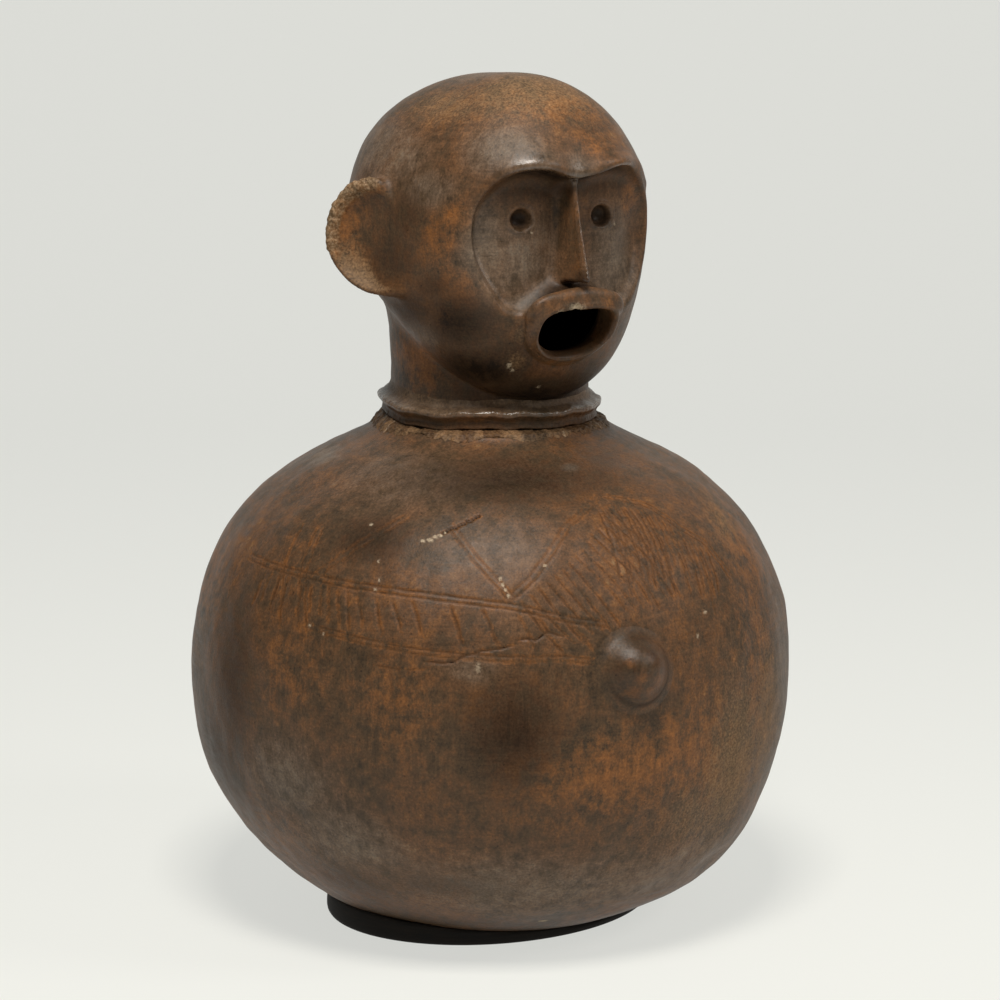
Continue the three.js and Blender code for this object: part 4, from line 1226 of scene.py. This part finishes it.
def head_marks(p):
    """How strong each mark is at points on the head."""
    found = {}
    for mark in CLAY_MARKS:
        amount = np.zeros(len(p))
        for centre, size, strength in HEAD_MARKS[mark]:
            amount = np.maximum(amount, strength * fading(p, centre, size))
        found[mark] = amount
    for side in (-1, 1):
        far, up, out = ear_frame(p, side)
        bowl = step(out, -18, -8) * step(3 - ear(p, side), 0, 2) * step(bare_head(p), -3, 13)
        bowl = bowl * step(-egg(far, up, out, (EAR_OUT, EAR_UP, EAR_DEEP)), -0.5, 4.5)
        lay(found, OCHRE, 0.5 * bowl * step(-up, -10, 26))
        lay(found, FLASH, 0.75 * bowl * step(up, -30, 10))
        lay(found, GREY_AND_SHEEN, 0.4 * bowl * step(-up, 0, 30))
    lay(found, OCHRE, 0.55 * torn)
    lay(found, CHALK, 0.16 * torn)
    lay(found, SMOKE_AND_SHADE, 0.7 * torn * step(lumps(p, crumbled), 0.2, 1.1))
    # Painted shade inside the head and neck, which shows through the mouth
    lay(found, SMOKE_AND_SHADE, 0.85 * (1 - outside))
    # Painted shade in the eye pits, darkest in their upper part under the rim
    eye_away = np.hypot(np.abs(p[:, 0]) - EYE[0], p[:, 2] - EYE[1])
    sunken = (p[:, 1] > FACE_Y + 2) & (p[:, 1] < FACE_Y + 25)
    deep = step(EYE_RADIUS - 0.6 - eye_away, 0, 2.4) * sunken * outside
    lay(found, SMOKE_AND_SHADE, deep * (0.7 + 0.3 * step(p[:, 2], EYE[1] - 5, EYE[1])))
    return found


marks = head_marks(skin_points)

# Partings: each triangle belongs to the piece whose own field is lowest there
middles = skin_points[skin_faces].mean(1)
owner = np.argmin(np.stack(added(middles), 1) - (0, 0.8, 1.5, 0, 0, 0), 1)
for _ in range(4):
    votes = np.zeros((len(skin_points), len(PIECES)))
    for k in range(len(PIECES)):
        votes[:, k] = np.bincount(skin_faces[owner == k].ravel(), minlength=len(skin_points))
    owner = np.argmax(votes[skin_faces].sum(1), 1)


def partings(a, b):
    """Closed lines of points between two pieces, in the direction that piece a's faces give."""
    edges = np.concatenate([skin_faces[:, [0, 1]], skin_faces[:, [1, 2]], skin_faces[:, [2, 0]]])
    owners = np.tile(owner, 3)
    key = edges.min(1) * len(skin_points) + edges.max(1)
    order = np.argsort(key, kind="stable")
    first, second = order[:-1], order[1:]
    same = key[first] == key[second]
    first, second = first[same], second[same]
    mine = [p[(owners[p] == a) & (owners[q] == b)] for p, q in ((first, second), (second, first))]
    after = dict(edges[np.concatenate(mine)])
    lines = []
    while after:
        start, here = after.popitem()
        line = [start]
        while here != start and here in after:
            line.append(here)
            here = after.pop(here)
        lines.append(line)
    return sorted(lines, key=len, reverse=True)


def zipped(p, q, p_run, q_run):
    """Triangles between two lines of points, each with how far along it every point lies."""
    made = []
    i = j = 0
    while i < len(p) - 1 or j < len(q) - 1:
        if j == len(q) - 1 or (i < len(p) - 1 and p_run[i + 1] <= q_run[j + 1]):
            made.append((p[i + 1], p[i], q[j]))
            i += 1
        else:
            made.append((q[j], q[j + 1], p[i]))
            j += 1
    return [t for t in made if len(set(t)) == 3]


SUNK = 1.6  # how deep a parting's middle line lies under the skin


def sunk(p, q, p_run, q_run, count=49):
    """New points between two lines of points, moved in until they lie under the surface."""
    global skin_points
    runs = np.linspace(p_run[0], p_run[-1], count)
    place = np.zeros((count, 3))
    for line, run in ((p, p_run), (q, q_run)):
        place += np.stack([np.interp(runs, run, skin_points[line, i]) for i in range(3)], 1) / 2
    for _ in range(12):
        grows, steep = slope_of(whole_head, place)
        place = place - grows * np.clip((whole_head(place) + SUNK) / steep, 0, 1)[:, None]
    skin_points = np.vstack([skin_points, place])
    return np.arange(len(skin_points) - count, len(skin_points)), runs


def cap(lines):
    """Triangles inside the clay that close a piece along its parting."""
    centre = np.mean(skin_points[lines[0]], 0)
    ways = np.linalg.svd(skin_points[lines[0]] - centre, full_matrices=False)[2]
    if len(lines) == 1:
        run = (skin_points[lines[0]] - centre) @ ways[0]
        line = np.roll(lines[0], -int(np.argmin(run)))
        run = np.roll(run, -int(np.argmin(run)))
        far = int(np.argmax(run))
        p, q = line[: far + 1], np.append(line[far:], line[0])[::-1]
        p_run = np.maximum.accumulate(run[: far + 1])
        q_run = np.maximum.accumulate(np.append(run[far:], run[0])[::-1])
        middle, m_run = sunk(p, q, p_run, q_run)
        middle[0], middle[-1] = p[0], p[-1]
    else:
        found = []
        for line, turned in zip(lines, (1, -1)):
            line = np.array(line)[::turned]
            place = skin_points[line] - centre
            angle = np.arctan2(place @ ways[1], place @ ways[0])
            start = int(np.argmin(np.abs(angle)))
            line, angle = np.roll(line, -start), np.unwrap(np.roll(angle, -start))
            run = np.append(angle, angle[0] + 2 * math.pi * np.sign(angle[-1]))
            found += [np.append(line, line[0]), np.maximum.accumulate(run * np.sign(run[-1]))]
        p, p_run, q, q_run = found
        middle, m_run = sunk(p, q, p_run, q_run)
        middle[-1] = middle[0]
    return zipped(p, middle, p_run, m_run) + zipped(middle, q, m_run, q_run)


caps = {k: [] for k in range(len(PIECES))}
for other in range(1, len(PIECES)):
    lines = partings(0, other)
    keep = lines[: 2 if PIECES[other] in ("lip_ring", "neck_tube") else 1]
    between = cap(keep)
    caps[0] += between
    caps[other] += [t[::-1] for t in between]

added_points = len(skin_points) - len(skin_out)
skin_out = np.vstack([skin_out, corner_normals(skin_points, np.array(caps[0]))[-added_points:]])
marks = {mark: np.append(values, np.full(added_points, 0.5)) for mark, values in marks.items()}
for k, name in enumerate(PIECES):
    faces = np.concatenate([skin_faces[owner == k], np.array(caps[k])])
    used, faces = np.unique(faces, return_inverse=True)
    shape = bpy.data.meshes.new(name + "_clay")
    shape.from_pydata((skin_points[used] + (0, AXIS_Y, 0)) / 1000, [], faces.reshape(-1, 3))
    for mark, values in marks.items():
        layer = shape.attributes.new(mark, "FLOAT", "POINT")
        layer.data.foreach_set("value", values[used].astype(np.float32))
    piece = bpy.data.objects.new(name + "_clay", shape)
    bpy.context.collection.objects.link(piece)
    shape.shade_smooth()
    shape.normals_split_custom_set_from_vertices(skin_out[used])
    dress(piece, name, "vessel", clay)


# Collar
# A coil pressed round the neck and drawn out to a flange. Fingers pinched it every few
# centimetres, so its edge wavers, and handling polished it.
COLLAR_Z = 357.5
COLLAR_DIP = 3.0
COLLAR_ROOT = 68.2
COLLAR_SECTION = [
    (-1.5, 15.0), (-0.5, 15.4), (0.0, 13.6), (0.7, 11.4), (1.8, 9.1), (3.5, 7.2), (6.2, 5.9),
    (8.6, 4.7), (9.7, 3.1), (9.4, 1.2), (7.8, -0.3), (6.5, -2.0), (6.1, -4.0), (6.5, -5.8),
    (6.6, -7.0), (5.4, -7.7), (2.4, -7.6), (-1.5, -7.2), (-1.5, 15.0),
]  # distance out from the neck, height


def collar_height(angle):
    wave = 1.1 * np.sin(3 * angle + 0.4) + 0.6 * np.sin(5 * angle)
    return COLLAR_Z + COLLAR_DIP * np.sin(angle) + wave


def wavering(angle, longest, shortest, count, seed):
    """An unevenness round a ring, about -1 to 1, between two wavelengths in mm."""
    chance = np.random.default_rng(seed)
    lengths = chance.uniform(shortest, longest, count)
    turns_round = np.maximum(np.rint(2 * math.pi * 75 / lengths), 1)
    starts = chance.uniform(0, 2 * math.pi, count)
    waves_round = np.sin(angle[:, None] * turns_round + starts)
    return waves_round.sum(1) / math.sqrt(count / 2) / 1.4


round_neck = np.linspace(0, 2 * math.pi, 721)
line = spline(COLLAR_SECTION, 4)
height = collar_height(round_neck)
flange = 1 + 0.07 * np.sin(4 * round_neck + 1) + 0.05 * wavering(round_neck, 60, 25, 7, 21)
outward = np.maximum(line[:, 0], 0)[:, None] * flange + np.minimum(line[:, 0], 0)[:, None]
droop = 0.5 * wavering(round_neck, 50, 18, 9, 22)[None, :] * step(line[:, 0], 1, 7)[:, None]
radius = COLLAR_ROOT + outward
level = height[None, :] + line[:, 1:2] + droop
collar_points = np.stack([radius * np.cos(round_neck), radius * np.sin(round_neck), level], -1)
proud = step(line[:, 0], 0.5, 4)[:, None]
dents = 0.16 * lumps(collar_points, pinched) + 0.09 * lumps(collar_points, crumbled)
collar_points = collar_points + normals_of(collar_points) * (dents * proud)[..., None]
collar_marks = {mark: np.zeros(collar_points.shape[:2]) for mark in CLAY_MARKS}
# Painted shade on the underside of the flange, and a painted highlight in grey and ochre along its upper
# side, which is also glossier
shaded_underside = (1 - step(line[:, 1], -5, 1))[:, None] + 0 * radius
collar_marks[SMOKE_AND_SHADE] = 0.4 * shaded_underside * (line[:, 0] > 4)[:, None]
collar_marks[GREY_AND_SHEEN] = 0.5 * step(line[:, 1], 1, 5)[:, None] + 0 * radius
collar_marks[OCHRE] = 0.16 * step(line[:, 1], -1, 4)[:, None] + 0 * radius
collar_marks[SHINE] = 1.3 * np.exp(-(((line[:, 1] - 4) / 2.5) ** 2))[:, None] + 0 * radius
collar = wrapped_grid("neck_collar_clay", collar_points, collar_marks)
dress(collar, "neck_collar", "vessel", clay)


# Luting
# Pale sandy clay pushed into the joint between shoulder and collar after the rest had dried. It
# was never burnished, and it has cracked away from the coil and flaked at its outer edge.
ragged = 1.5 + 1.4 * wavering(round_neck, 60, 20, 9, 31) + 0.45 * wavering(round_neck, 8, 3.5, 16, 32)
rim = 81.0 + np.clip(ragged, 0.3, 6)
rise_r, rise_z = np.array(bezier(RISE_TO_COLLAR, 30)).T


def shoulder_at(radius):
    return np.interp(radius, rise_r[::-1], rise_z[::-1])


thick = 0.6 + 0.25 * wavering(round_neck, 12, 4, 12, 33)
under = collar_height(round_neck) - 8.1 + 0.3 * wavering(round_neck, 16, 5, 10, 34)
luting_rows = [
    (72 + 0 * rim, 344.75 + 0 * rim),
    (71 + 0 * rim, under - 1.5),
    (72.5 + 0 * rim, under + 0.2),
    (74.5 + 0 * rim, under + 0.1),
    (76.5 + 0 * rim, under - 0.5 - 0.25 * (under - 346)),
    (78.6 + 0 * rim, 346.6 + 0.4 * (under - 348)),
    (80.6 + 0 * rim, shoulder_at(80.6) + thick + 0.6),
    (rim * 0.5 + 81 * 0.5, shoulder_at(rim * 0.5 + 81 * 0.5) + thick + 0.1),
    (rim - 0.5, shoulder_at(rim - 0.5) + 0.75 * thick),
    (rim, shoulder_at(rim) + 0.15),
    (rim - 0.4, shoulder_at(rim - 0.4) - 0.5),
    (81 + 0 * rim, shoulder_at(81.0) - 0.8 + 0 * rim),
    (78 + 0 * rim, 344.75 + 0 * rim),
    (72 + 0 * rim, 344.75 + 0 * rim),
]
luting_line = np.array(luting_rows)
fine_rows = np.linspace(0, len(luting_rows) - 1, 53)
low_row = np.minimum(fine_rows.astype(int), len(luting_rows) - 2)
part = (fine_rows - low_row)[:, None]
luting_r = luting_line[low_row, 0] * (1 - part) + luting_line[low_row + 1, 0] * part
luting_z = luting_line[low_row, 1] * (1 - part) + luting_line[low_row + 1, 1] * part
luting_points = np.stack([luting_r * np.cos(round_neck), luting_r * np.sin(round_neck), luting_z], -1)
shown_rows = ((fine_rows > 2) & (fine_rows < 9))[:, None]
crumbs = 0.28 * lumps(luting_points, crumbled) * shown_rows
luting_points = luting_points + normals_of(luting_points) * crumbs[..., None]
luting_marks = {mark: np.zeros(luting_points.shape[:2]) for mark in CLAY_MARKS}
pale = step(wavering(round_neck, 40, 12, 9, 35), -0.2, 0.7) + 0 * luting_r
luting_marks[OCHRE] = 0.2 + 0.22 * pale
luting_marks[SMOKE_AND_SHADE] = 0.42 * (1 - pale)
luting_marks[CHALK] = 0.3 * pale * step(wavering(round_neck, 14, 5, 12, 36), 0.6, 1.2)
luting = wrapped_grid("luting_seam_clay", luting_points, luting_marks)
dress(luting, "luting_seam", "vessel", clay)
